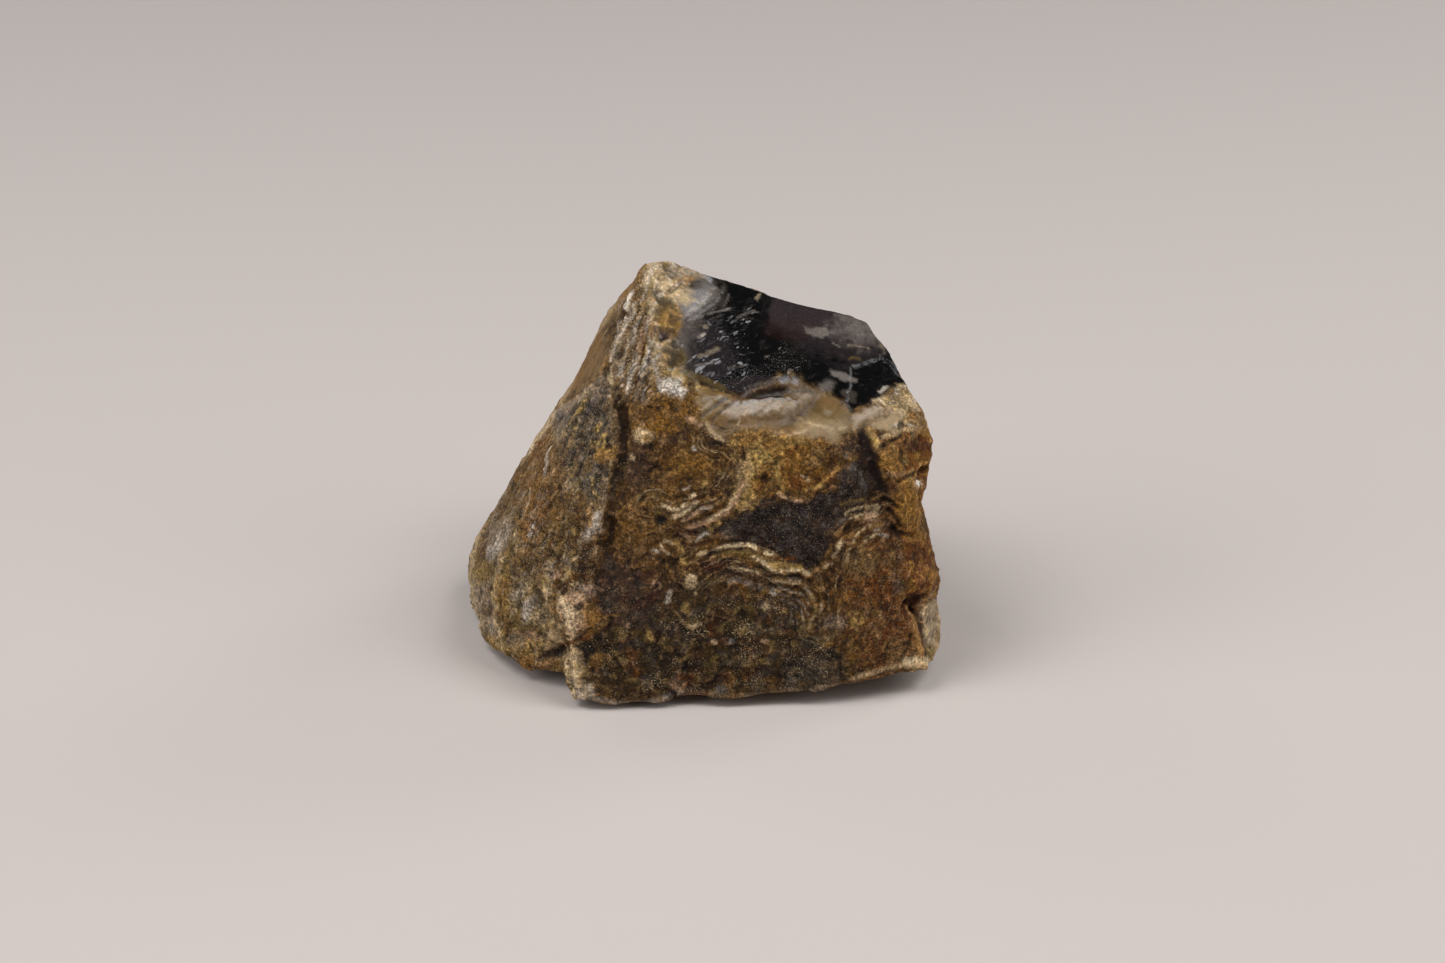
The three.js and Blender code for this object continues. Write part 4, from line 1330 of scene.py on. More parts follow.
# %% Arches
lay_lines([
    ("pink of the arches", "cream", 3, 0.8, [(698, 554), (705, 552), (712, 550), (720, 548)]),
    ("olive under the first arch", "moss", 7, 0.8, [
        (721, 552), (735, 552), (748, 552), (760, 558), (768, 564),
    ]),
    ("first arch", "ivory", 3.2, 0.8, [
        (720, 548), (730, 546), (741, 544), (751, 545), (761, 551), (773, 557),
    ]),
    ("rust by the arch", "rust", 3, 0.9, [(774, 559), (784, 559), (794, 558)]),
    ("straw above the arch", "straw", 6, 0.8, [(770, 564), (780, 566), (790, 566), (800, 568)]),
    ("second arch", "ivory", 3.6, 0.75, [
        (753, 558), (760, 561), (767, 567), (774, 571), (781, 571), (789, 570), (800, 571), (808, 574),
    ]),
    ("dark under the second arch", "bistre", 2.4, 0.9, [
        (760, 568), (770, 575), (784, 576), (798, 576), (808, 580),
    ]),
    ("third arch", "cream", 2.2, 0.85, [(727, 569), (737, 569), (747, 570), (758, 573)]),
    ("dark under the third arch", "bistre", 2.4, 0.8, [(722, 573), (736, 573), (750, 575), (764, 580)]),
    ("fourth arch", "milk", 1.8, 0.8, [(780, 578), (790, 578), (798, 579), (806, 583)]),
    ("fifth arch", "milk", 2.4, 0.8, [
        (774, 581), (786, 582), (797, 582), (806, 587), (811, 594), (814, 599),
    ]),
    ("end of the fifth arch", "milk", 3.4, 0.6, [(804, 588), (809, 593), (812, 598)]),
    ("dark under the fifth arch", "bistre", 2, 0.8, [(776, 584), (790, 586), (800, 588), (806, 594)]),
    ("sixth arch", "milk", 2, 0.8, [(777, 587), (789, 590), (800, 593), (807, 599), (810, 606)]),
    ("seventh arch", "ash", 2, 0.8, [(773, 594), (786, 596), (798, 600), (805, 606), (808, 614)]),
    ("eighth arch", "ash", 1.8, 0.7, [(780, 600), (792, 604), (800, 609), (803, 616)]),
    ("olive of the curl", "moss", 4, 0.8, [(809, 594), (814, 601), (816, 609), (813, 618), (809, 627)]),
    ("white beside the curl", "milk", 2.4, 0.6, [(821, 602), (822, 607), (820, 613)]),
    ("low end of the curl", "milk", 2, 0.6, [(815, 614), (812, 620), (809, 627)]),
    ("grey under the arches", "ash", 5, 0.7, [(729, 581), (735, 580), (741, 580)]),
    ("second grey", "ash", 6, 0.7, [(747, 583), (753, 586), (760, 589)]),
    ("white by the blob", "cream", 2.2, 0.8, [(695, 592), (700, 587), (705, 581)]),
])

# %% Right swirl
lay_lines([
    ("brown fill", "umber", 10, 0.65, [(834, 562), (831, 572), (827, 580)]),
    ("bright right strand", "ivory", 3.8, 0.8, [(833, 556), (836, 550), (838, 544), (841, 540)]),
    ("foot of the right strand", "cream", 3.6, 0.85, [(820, 570), (824, 567), (830, 563)]),
    ("thin right strand", "ochre", 2.4, 0.8, [(825, 559), (828, 551), (830, 544)]),
    ("dark beside the strands", "bistre", 3, 0.8, [(822, 560), (826, 547), (833, 533), (842, 522)]),
    ("second right strand", "ochre", 3, 0.7, [(844, 568), (845, 556), (850, 544), (858, 534)]),
    ("third right strand", "dun", 3, 0.8, [(834, 534), (846, 524), (860, 518), (877, 512)]),
    ("fourth right strand", "umber", 2.4, 0.8, [(838, 538), (850, 529), (864, 523), (880, 519)]),
    ("fifth right strand", "ochre", 3, 0.7, [(844, 537), (858, 531), (871, 526), (882, 524)]),
    ("grey beside the strands", "ash", 4, 0.7, [(840, 523), (843, 520), (846, 518)]),
    ("first fibre", "cream", 2, 0.85, [(846, 562), (849, 547), (857, 533), (870, 524)]),
    ("dark by the first fibre", "umber", 2, 0.8, [(849, 566), (853, 550), (861, 537), (873, 529)]),
    ("second fibre", "ivory", 2, 0.7, [(853, 567), (857, 552), (865, 541), (876, 533)]),
    ("third fibre", "ochre", 2.4, 0.8, [(859, 571), (863, 557), (871, 547), (882, 541)]),
    ("fourth fibre", "cream", 2, 0.8, [(845, 513), (856, 507), (868, 505), (880, 508)]),
    ("fifth fibre", "ivory", 2, 0.8, [(850, 519), (862, 514), (877, 511)]),
    ("dark by the fifth fibre", "bistre", 2, 0.7, [(846, 518), (858, 511), (870, 508)]),
    ("sixth fibre", "dun", 2.4, 0.8, [(868, 574), (872, 560), (880, 550), (889, 546)]),
])

# %% [markdown]
# Where two families of strands meet, their noise can draw loops that no stone would have. In two such places
# the strands are made weaker.

# %% Weaker strands
WEAKER_BY = 0.75
# Each row: name, place, half width, half height.
STILL_PLACES = [("end of the arches", (822, 626), 26, 22), ("above the right swirl", (872, 490), 16, 14)]
for name, place, half_width, half_height in STILL_PLACES:
    strand_amount *= 1 - WEAKER_BY * spot(place, half_width, half_height)
print("strands left", strand_amount.mean().round(3))

# %% [markdown]
# ## Eye and dark valley
# Under the ledge the rings close round an amber eye. To its right a shadowed valley runs down beside the
# buttress, with crevices, a hole and a rusty bump below. The valley is painted dark as painted shade over a
# brown stain, and its lit edge as a painted highlight. A crevice is painted near black over its furrow as
# painted shade, because soft light would still reach into it, and so are the dashes, the crack, the hole and
# the underside of the bump.

# %% Eye, buttress and bump
lay_spots([
    ("eye", "amber", (804, 466), 27, 27, 0, 0.75),
    ("disc in the eye", "dun", (818, 456), 10, 9, 0, 0.7),
    ("brown of the eye", "rust", (797, 482), 9, 8, 0, 0.7),
    ("cream above the eye", "straw", (798, 440), 14, 5, 0, 0.5),
    ("plum above the valley", "plum", (850, 447), 13, 8, 0, 0.75),
    ("grey dot", "ash", (847, 456), 3, 2.6, 0, 0.7),
    ("low grey dot", "slate", (843, 490), 3, 3, 0, 0.7),
    ("orange of the buttress", "honey", (892, 462), 12, 10, 0, 0.6),
    ("wine of the buttress", "wine", (920, 444), 11, 7, 0, 0.65),
    ("low wine of the buttress", "wine", (890, 485), 11, 5, 0, 0.6),
    ("light chip", "blush", (918, 484), 6, 4.5, 0, 0.7),
    ("white of the chip", "chalk", (919, 483), 4, 3, 0, 0.9),
    ("ochre of the buttress", "honey", (911, 503), 12, 20, 0, 0.75),
    ("low ochre of the buttress", "honey", (914, 530), 9, 12, 0, 0.55),
    ("blotch on the pale face", "dun", (938, 638), 4, 9, 0, 0.6),
    ("low blotch", "moss", (929, 655), 5, 7, 0, 0.7),
    ("pink patch on the right", "blush", (870, 514), 8, 6, 20, 0.8),
    ("light of the swirl", "dun", (862, 562), 15, 18, 20, 0.8),
    ("light on the pink patch", "cream", (877, 508), 3, 4, 0, 0.7),
    ("white flecks on the right", "bone", (876, 529), 4, 1.6, 15, 0.6),
    ("second white flecks", "bone", (883, 535), 5, 1.5, -15, 0.6),
    ("light of the bump", "honey", (926, 574), 10, 8, 0, 0.3),
    # Painted shade under the overhanging bump.
    ("underside of the bump", "wine", (917, 598), 10, 5, 25, 0.6),
    ("grey beside the bump", "slate", (897, 584), 6, 10, 0, 0.5),
    ("rust by the hole", "rust", (900, 620), 10, 12, 0, 0.5),
    ("low dun", "dun", (900, 650), 16, 12, 0, 0.5),
    ("shade of the pale face", "moss", (930, 652), 6, 8, 0, 0.6),
])

# %% Rings of the eye
lay_lines([
    ("rim of the eye", "blush", 3, 0.85, [(778, 494), (788, 499), (798, 501), (808, 502)]),
    ("rim going up", "ochre", 3.4, 0.85, [(806, 489), (821, 484), (830, 476), (837, 468), (843, 463)]),
    ("red of the rim", "rust", 2, 0.8, [(812, 490), (825, 485), (834, 477), (842, 468)]),
    ("red ring of the eye", "rust", 3.4, 0.8, [(800, 444), (790, 452), (786, 464), (788, 474), (794, 480)]),
    ("second ring of the eye", "straw", 3, 0.7, [(784, 446), (779, 460), (778, 476), (782, 488)]),
    ("third ring of the eye", "ochre", 2, 0.7, [(806, 448), (797, 456), (795, 466), (799, 474)]),
    ("white in the eye", "cream", 2, 0.7, [(802, 475), (806, 477), (809, 479)]),
    ("light below the eye", "straw", 3, 0.7, [(806, 490), (814, 487), (822, 486)]),
])

# %% Valley and crevices
lay_lines([
    # Painted shade of the valley over its brown stain; its lit edge is a painted highlight.
    ("painted shade of the valley", "bistre", 9, 0.7, [(864, 436), (869, 450), (873, 464), (876, 476), (879, 486)]),
    ("wine of the valley", "wine", 7, 0.7, [(866, 440), (871, 456), (876, 474), (882, 488)]),
    ("lit edge of the valley", "amber", 3.4, 0.9, [(875, 446), (878, 460), (881, 472), (884, 482)]),
    ("grey edge of the dark", "ash", 3, 0.45, [(861, 471), (864, 481), (868, 496)]),
    ("low edge of the dark", "moss", 3.4, 0.8, [(841, 503), (849, 501), (860, 499), (868, 498)]),
    ("chip on the crease", "straw", 5.5, 0.95, [(868, 432), (873, 437), (877, 446)]),
    # Painted shade in the dashes and the crack, small hollows of the relief.
    ("first dark dash", "bistre", 4, 0.9, [(880, 448), (888, 444)]),
    ("second dark dash", "bistre", 3, 0.9, [(892, 441), (899, 437), (902, 434)]),
    ("third dark dash", "bistre", 2.4, 0.8, [(911, 434), (916, 433)]),
    ("band over the buttress", "cream", 5, 0.45, [(880, 438), (892, 434), (906, 430), (918, 430)]),
    ("ochre at the corner", "ochre", 5, 0.9, [(917, 432), (924, 429), (931, 433)]),
    ("crack in the buttress", "bistre", 2, 0.8, raised["crack in the buttress"]),
    ("light above the crack", "blush", 4, 0.4, [(888, 474), (896, 475), (904, 473)]),
    # Painted shade in the crevices.
    ("upper crevice", "bistre", 2.6, 0.9, raised["upper crevice"]),
    ("short crevice", "bistre", 2.2, 0.9, [(888, 510), (893, 512), (898, 513)]),
    ("middle crevice", "bistre", 3.4, 0.95, [(896, 519), (900, 523), (902, 527)]),
    ("low crevice", "jet", 6, 1.0, [(893, 529), (896, 534), (898, 538)]),
    ("end of the crevice", "bistre", 2.6, 0.95, [(898, 533), (904, 535), (910, 536)]),
    ("shade of the crevices", "umber", 14, 0.6, [(884, 500), (894, 516), (898, 532)]),
    # Painted shade in the hole.
    ("hole", "jet", 4, 1.0, [(910, 608), (912, 611)]),
    ("shade of the hole", "wine", 4, 0.5, [(904, 602), (914, 605), (922, 607)]),
    ("lit edge below the hole", "ochre", 4, 0.8, raised["edge below the hole"]),
    # Painted shade on the far side of the edge below the hole.
    ("painted shade below the edge under the hole", "umber", 4, 0.9, [(913, 614), (918, 630), (922, 648), (924, 662)]),
    # Painted highlight along the lit bottom edge.
    ("painted highlight on the edge of the corner", "cream", 5, 0.6, [
        (850, 678), (866, 674), (880, 670), (894, 667), (910, 666), (926, 667),
    ]),
    ("bright corner", "ivory", 7, 0.7, [(906, 661), (916, 659), (925, 661)]),
])

# %% [markdown]
# ## Lobe, crust and foot
# The lobe carries pale and rusty patches that lie aslant, along its strands, so the spots are tilted the same
# way. A crust of pale crumbs hangs at its lower right, over a notch and the ridge of the foot. The last spots
# and lines lie low on the front: its dots, and its pale lower edge.

# %% Patches of the lobe and the crust
lay_patches([
    ("brown of the lobe", "amber", 10, 0.55, [
        (546, 430), (560, 446), (552, 490), (560, 520), (536, 520), (520, 480), (530, 450),
    ]),
    ("pale top of the lobe", "ash", 4, 0.7, [
        (552, 414), (566, 408), (568, 424), (562, 442), (556, 440), (556, 426),
    ]),
    ("dark of the lobe", "limonite", 8, 0.7, [
        (560, 488), (584, 494), (590, 510), (576, 524), (556, 520), (550, 500),
    ]),
    ("lower dark of the lobe", "umber", 8, 0.6, [(580, 556), (596, 548), (604, 560), (596, 580), (584, 584)]),
    ("ochre crumbs", "ochre", 3, 0.8, [
        (594, 450), (606, 448), (618, 446), (619, 458), (606, 463), (594, 461),
    ]),
    ("white patch", "bone", 3, 0.9, [
        (603, 512), (600, 528), (592, 536), (584, 539), (584, 533), (590, 524), (595, 513),
    ]),
    ("crust", "blush", 5, 0.9, [
        (562, 600), (574, 592), (590, 585), (595, 592), (588, 600), (582, 612), (586, 622), (580, 632),
        (573, 639), (565, 626), (559, 613),
    ]),
    ("light of the crust", "ivory", 6, 0.9, [
        (563, 600), (572, 600), (578, 612), (573, 624), (575, 638), (570, 636), (565, 618),
    ]),
    # Painted shade left of the valley and in it beside the buttress.
    ("shade left of the valley", "bistre", 7, 0.6, [
        (848, 436), (866, 432), (878, 452), (884, 480), (890, 500), (880, 498), (868, 484), (856, 460),
    ]),
    ("painted shade by the buttress", "bistre", 5, 0.8, [
        (861, 434), (869, 434), (876, 452), (881, 476), (886, 492), (880, 494), (873, 484), (866, 464),
    ]),
    ("grey cloud low", "slate", 14, 0.6, [
        (788, 666), (812, 660), (830, 666), (838, 680), (814, 688), (790, 684),
    ]),
    ("lilac of the crust", "ash", 3, 0.6, [(580, 586), (592, 584), (594, 592), (584, 598)]),
    ("orange of the crust", "ochre", 6, 0.6, [(582, 604), (594, 602), (597, 614), (590, 626), (582, 622)]),
    ("tan below the crust", "cream", 4, 0.6, [(538, 638), (552, 630), (564, 640), (560, 650), (546, 650)]),
    ("pink of the lobe", "blush", 5, 0.6, [(516, 632), (534, 630), (542, 642), (530, 650), (518, 646)]),
    ("amber of the lobe's foot", "amber", 4, 0.8, [
        (512, 650), (532, 652), (552, 654), (556, 664), (540, 674), (520, 670),
    ]),
    ("left face of the foot", "cream", 4, 0.8, raised["face of the foot"]),
    ("blue black by the foot", "jet", 3, 0.85, [
        (577, 644), (590, 642), (597, 646), (592, 656), (586, 664), (578, 664),
    ]),
    ("grey of the foot", "bone", 4, 0.6, [(572, 682), (584, 682), (594, 692), (590, 700), (576, 698)]),
])

# %% Crumbs and clusters of the lobe
lay_spots([
    ("grey flecks in the dark", "ash", (853, 466), 5, 4, 20, 0.6),
    ("grey streak in the dark", "ash", (861, 479), 2.4, 9, 8, 0.5),
    ("grey bloom in the dark", "slate", (846, 474), 9, 7, 0, 0.4),
    ("second grey bloom", "slate", (786, 528), 12, 6, -15, 0.35),
    ("ochre by the foot", "ochre", (597, 657), 7, 5, 20, 0.8),
    ("brown by the foot", "limonite", (592, 662), 6, 3, 0, 0.6),
    ("dark spot in the crust", "bistre", (580, 606), 5, 2.4, 15, 0.9),
    ("amber dot", "straw", (581, 523), 2.6, 2.8, 0, 0.9),
    ("yellow dot of the lobe", "cream", (576, 557), 4, 1.6, 30, 0.8),
    ("yellow crumb", "straw", (572, 532), 3.4, 5, 0, 0.7),
    ("second yellow crumb", "straw", (568, 570), 3, 5, 10, 0.5),
    ("ochre dot", "ochre", (575, 498), 3, 2, 0, 0.6),
    ("cream crumb", "straw", (544, 584), 5, 8, -15, 0.7),
    ("pink crumb", "blush", (556, 575), 4, 5, 0, 0.6),
    ("white cluster", "bone", (527, 612), 5, 12, -15, 0.55),
    ("upper white cluster", "bone", (520, 592), 6, 8, -30, 0.45),
    ("grey cluster", "milk", (541, 616), 5, 9, -15, 0.4),
    ("pale smooth patch", "milk", (503, 534), 8, 18, -20, 0.8),
    ("lower pale patch", "bone", (493, 548), 5, 14, -25, 0.6),
    ("brown smooth patch", "amber", (503, 588), 10, 12, 20, 0.5),
    ("olive grey of the lobe", "milk", (482, 604), 12, 24, 15, 0.6),
    ("rust of the lobe", "sienna", (532, 516), 13, 24, -20, 0.5),
    ("rust by the rim", "sienna", (538, 446), 9, 16, -30, 0.45),
    ("brown by the groove", "umber", (588, 566), 12, 18, 10, 0.8),
    ("brown beside the groove", "umber", (588, 530), 14, 30, 10, 0.3),
    ("streaks by the brown", "cream", (522, 590), 5, 16, -25, 0.45),
    ("second streaks", "bone", (530, 606), 4, 12, -25, 0.5),
    ("crumbs over the crust", "cream", (546, 590), 6, 8, -20, 0.5),
    ("low tan of the lobe", "straw", (528, 648), 20, 9, 10, 0.5),
    ("low straw of the lobe", "straw", (496, 648), 12, 12, -30, 0.5),
    ("low brown patch", "limonite", (490, 612), 8, 6, 10, 0.6),
    ("olive patch", "olive", (508, 638), 8, 7, 0, 0.5),
])

# %% Dots of the low front
lay_spots([
    ("yellow blob", "straw", (650, 636), 2.6, 8, 15, 0.6),
    ("low front dot", "cream", (713, 641), 3, 2.4, 0, 0.8),
    ("grey dot of the front", "ash", (730, 641), 4, 3, 0, 0.7),
    ("pink dot of the front", "blush", (764, 641), 4, 3, 0, 0.8),
    ("ochre dot of the front", "ochre", (828, 645), 6, 3, 0, 0.8),
    ("black dot of the front", "jet", (833, 657), 6, 6, 0, 0.8),
    ("cream below the arches", "cream", (766, 608), 5, 3, 20, 0.6),
    ("bone below the arches", "bone", (773, 592), 3, 4, 0, 0.85),
    ("ochre below the arches", "dun", (732, 612), 5, 4, 0, 0.7),
    ("grey by the blob", "bone", (668, 595), 2.6, 6, -20, 0.7),
    ("brown by the blob", "umber", (678, 590), 7, 7, 0, 0.6),
    ("pink dot by the plum", "blush", (626, 624), 3.6, 3, 0, 0.7),
    ("rust at the bottom", "rust", (686, 676), 9, 3, 0, 0.6),
    ("pink rim of the bottom", "blush", (677, 685), 9, 5, 0, 0.5),
    ("grey ring at the bottom", "ash", (720, 690), 6, 4, 0, 0.6),
    ("grey cloud right", "ash", (834, 622), 12, 8, 0, 0.4),
    ("yellow crumbs right", "straw", (856, 620), 7, 9, 0, 0.4),
])

# %% Rims, groove and lower edge
lay_lines([
    # Painted rim light along the lobe's outline, where light shines through its thin edge.
    ("painted rim light of the lobe", "ivory", 5, 0.7, [(556, 412), (532, 446), (508, 478), (490, 508)]),
    ("painted rim light low on the lobe", "cream", 6, 0.5, [(490, 508), (478, 538), (470, 575), (472, 600), (482, 626)]),
    # Painted shade in the groove beside the lobe's step.
    ("groove", "umber", 4.5, 0.6, [(619, 396), (622, 408), (624, 424), (622, 446), (619, 462), (616, 478)]),
    ("painted shade of the lower groove", "umber", 6, 0.5, [(616, 478), (612, 500), (608, 520), (604, 545)]),
    ("yellow squiggle", "straw", 2, 0.9, [
        (586, 478), (590, 476), (593, 481), (590, 487), (594, 493), (600, 497),
    ]),
    ("olive streak by the groove", "moss", 4, 0.7, [(614, 466), (611, 476), (610, 488)]),
    ("ochre beside the white patch", "ochre", 4, 0.8, [(590, 511), (592, 518), (590, 526)]),
    ("bone dash of the lobe", "bone", 3, 0.8, [(532, 525), (530, 531), (528, 536)]),
    ("long pale streak", "milk", 3, 0.6, [(540, 492), (536, 506), (532, 518)]),
    ("thin pale streak", "bone", 2, 0.6, [(552, 446), (546, 460), (542, 476)]),
    ("second thin streak", "cream", 2, 0.5, [(530, 490), (526, 504), (522, 520)]),
    ("orange in the notch", "rust", 5, 0.9, [(560, 646), (570, 643), (580, 640), (588, 636)]),
    # Painted shade in the notch.
    ("painted shade of the notch", "bistre", 6, 0.85, [(546, 656), (556, 651), (566, 648)]),
    ("dark in the crust", "bistre", 3, 0.8, [(576, 640), (582, 636), (588, 628)]),
    ("pale ridge of the foot", "cream", 7, 0.6, [(577, 652), (579, 664), (578, 680), (585, 694)]),
    ("edge beside the ridge", "umber", 2.4, 0.5, [(580, 664), (581, 676), (586, 688)]),
    ("light line from the crust", "ochre", 2, 0.7, [(596, 618), (606, 616), (618, 615)]),
    ("pink ring", "blush", 1.8, 0.8, [(652, 586), (654, 579), (659, 582), (660, 588), (655, 590)]),
    ("light lower edge", "bone", 5, 0.4, [
        (586, 698), (604, 701), (620, 704), (640, 705), (660, 699), (680, 692),
    ]),
    ("lower edge of the front", "milk", 4, 0.3, [(700, 691), (720, 696), (760, 695), (800, 692), (840, 685)]),
])

# %% [markdown]
# ## Painted shade and highlight
# The crevices are painted darker, as painted shade, and the crests paler, as painted highlight. Both follow the
# relief, and they are laid over all the marks, which ties the marks to the surface. The glassy top is left out,
# and the ledge and the dark patch get less of it.

# %% Painted shade and highlight
CREST_LIGHTER = 0.5

shade_and_highlight_share = 1 - np.clip(zone["top"] + 0.6 * zone["ledge"] + 0.8 * zone["dark patch"], 0, 1)
# Painted shade in the crevices and painted highlight on the crests.
for where, strength, finish in (
    (crevice, 0.5, "bistre"),
    (fine_crevice, 0.2, "bistre"),
    (crest, 0.15, "dun"),
    (fine_crest, 0.08, "blush"),
):
    lay(where * strength * shade_and_highlight_share, finish)
# Painted highlight: the fine crests are made lighter still.
paint["ground"] *= (1 + CREST_LIGHTER * fine_crest * shade_and_highlight_share)[:, None]
print("worn points", int((shade_and_highlight_share > 0.5).sum()))

# %% [markdown]
# Last, the whole coat is made uneven, lighter here and darker there over a millimetre or so, as rind always
# is. The amount follows the grit, so that the clean parts stay clean.

# %% Uneven coat
BROAD_UNEVEN = 0.28
FINE_UNEVEN = 0.24

uneven = np.exp(paint["grit"] * (BROAD_UNEVEN * lumps(1.6, 41) + FINE_UNEVEN * lumps(0.55, 42, 2)))
paint["ground"] *= uneven[:, None]
print("uneven from", uneven.min().round(2), "to", uneven.max().round(2))

# %% [markdown]
# ## Material
# The painted values reach the material as attributes of the mesh. The material adds what is finer than the
# mesh: strands along their guides, grain, pale flecks and dark pits, flakes in the glass, and the bump that
# goes with them. Each of these is a node group, so that every finish of the stone can use it with its own
# values.

# %% Attributes
def keep(name, kind, field, values):
    """Stores one value, place or colour for each point of the stone."""
    stone_mesh.attributes.new(name, kind, "POINT").data.foreach_set(field, values.ravel())


COLOURS = ("ground", "accent")
AMOUNTS = ("flecks", "flakes", "gloss", "grit")
opaque = np.ones((count, 1))
for name in COLOURS:
    keep(name, "FLOAT_COLOR", "color", np.hstack([np.clip(paint[name], 0, 1), opaque]))
for name in AMOUNTS:
    keep(name, "FLOAT", "value", paint[name])
keep("strand_place", "FLOAT_VECTOR", "vector", strand_place)
keep("strand_amount", "FLOAT", "value", strand_amount)
print("attributes", len(stone_mesh.attributes))

# %% [markdown]
# A few helpers build the node trees, so that each group below reads like a recipe. `add` makes a node and
# links or sets its inputs, and the others make the nodes that are used most.

# %% Node helpers
def new_group(name, second_colour=None):
    """A group that takes a place, one or two colours and an amount, and gives a colour and a height."""
    group = bpy.data.node_groups.new(name, "ShaderNodeTree")
    inputs = {"Place": "Vector", "Colour": "Color"}
    if second_colour:
        inputs[second_colour] = "Color"
    inputs["Amount"] = "Float"
    for way, sockets in (("INPUT", inputs), ("OUTPUT", {"Colour": "Color", "Height": "Float"})):
        for socket, kind in sockets.items():
            group.interface.new_socket(socket, in_out=way, socket_type="NodeSocket" + kind)
    return group, group.nodes.new("NodeGroupInput").outputs


def close_group(group, colour, height):
    """Sends a colour and a height out of a group."""
    way_out = group.nodes.new("NodeGroupOutput")
    group.links.new(colour, way_out.inputs["Colour"])
    group.links.new(height, way_out.inputs["Height"])
    print("group", group.name, "with", len(group.nodes), "nodes")


def add(tree, kind, values=None, **settings):
    """A node with its settings and the values or links of its inputs."""
    node = tree.nodes.new("ShaderNode" + kind)
    for name, setting in settings.items():
        setattr(node, name, setting)
    for name, value in (values or {}).items():
        if isinstance(value, bpy.types.NodeSocket):
            tree.links.new(value, node.inputs[name])
        else:
            node.inputs[name].default_value = value
    return node


def fade(tree, value, low, high, start=0.0, end=1.0):
    """Maps a value from one range to another, smoothly."""
    values = {"Value": value, "From Min": low, "From Max": high, "To Min": start, "To Max": end}
    return add(tree, "MapRange", values, interpolation_type="SMOOTHSTEP").outputs["Result"]


def blend(tree, amount, under, over):
    """Lays one colour over another."""
    node = add(tree, "Mix", data_type="RGBA")
    for name, value in (("Factor", amount), ("A", under), ("B", over)):
        socket = next(s for s in node.inputs if s.name == name and s.enabled)
        if isinstance(value, bpy.types.NodeSocket):
            tree.links.new(value, socket)
        else:
            socket.default_value = value
    return next(s for s in node.outputs if s.enabled)


def maths(tree, operation, first_value, second_value):
    """One sum on two values."""
    return add(tree, "Math", {0: first_value, 1: second_value}, operation=operation).outputs[0]


def scaled(tree, colour, by):
    """A colour or a place times a value."""
    return add(tree, "VectorMath", {0: colour, "Scale": by}, operation="SCALE").outputs[0]


print("materials before the stone's own", len(bpy.data.materials))

# %% [markdown]
# `stone_grain` is the crystal grain that makes a flat colour look like stone: noise of several octaves, from
# about a third of a millimetre down to a few hundredths. It gives the colour and a height for the bump.

# %% Grain group
# The middle part of the noise is stretched to this much darker and this much lighter.
GRAIN_LOW, GRAIN_HIGH = 0.36, 0.76
GRAIN_DARKEST, GRAIN_LIGHTEST = 0.28, 2.7

grain, grain_in = new_group("stone_grain")
place = grain_in["Place"]
crystals = add(grain, "TexNoise", {"Vector": place, "Scale": 3.4, "Detail": 3.5, "Roughness": 0.72})
octaves = crystals.outputs["Fac"]
contrast = fade(grain, octaves, GRAIN_LOW, GRAIN_HIGH, GRAIN_DARKEST, GRAIN_LIGHTEST)
spotted = scaled(grain, grain_in["Colour"], contrast)
grained = blend(grain, grain_in["Amount"], grain_in["Colour"], spotted)
close_group(grain, grained, octaves)

# %% [markdown]
# `mineral_flecks` puts small crystals of the accent colour on the ground, and small dark pits between them.
# Both come from noise that is cut off at a level. The amount moves that level, so it makes the flecks denser.

# %% Fleck group
# For each kind: the size in mm, the noise level where it is sparse and where it is dense, and the soft edge.
PALE_FLECKS = {"size": 0.17, "sparse": 0.74, "dense": 0.51, "edge": 0.045}
DARK_PITS = {"size": 0.34, "sparse": 0.70, "dense": 0.56, "edge": 0.08}
ELSEWHERE = (31.0, -17.0, 5.0)
FLECK_COVER = 0.92
PIT_COVER = 0.4
PIT_DARK = (0.010, 0.007, 0.005, 1)

fleck, fleck_in = new_group("mineral_flecks", "Fleck")


def islands(tree, where, density, size, sparse, dense, edge):
    """Scattered islands in noise, which grow denser as the density goes from 0 to 1."""
    values = {"Vector": where, "Scale": 1 / size, "Detail": 3.0, "Roughness": 0.7}
    level = fade(tree, density, 0.0, 1.0, sparse, dense)
    above = maths(tree, "SUBTRACT", add(tree, "TexNoise", values).outputs["Fac"], level)
    return fade(tree, above, 0.0, edge)


place = fleck_in["Place"]
amount = fleck_in["Amount"]
elsewhere = add(fleck, "VectorMath", {0: place, 1: ELSEWHERE}, operation="ADD").outputs[0]
pale_islands = islands(fleck, place, amount, **PALE_FLECKS)
dark_islands = islands(fleck, elsewhere, amount, **DARK_PITS)
pit_share = maths(fleck, "MULTIPLY", dark_islands, PIT_COVER)
fleck_share = maths(fleck, "MULTIPLY", pale_islands, FLECK_COVER)
pitted = blend(fleck, pit_share, fleck_in["Colour"], PIT_DARK)
flecked = blend(fleck, fleck_share, pitted, fleck_in["Fleck"])
close_group(fleck, flecked, maths(fleck, "SUBTRACT", pale_islands, dark_islands))

# %% [markdown]
# `strands` reads noise across and along the guide lines, so it is fine one way and long the other. The high
# part of it lays pale strands, and the low part dark ones.

# %% Strand group
PALE_FROM, PALE_FULL = 0.52, 0.68
DARK_FROM, DARK_FULL = 0.49, 0.34
PALE_COVER = 0.6
DARKENED_TO = 0.35

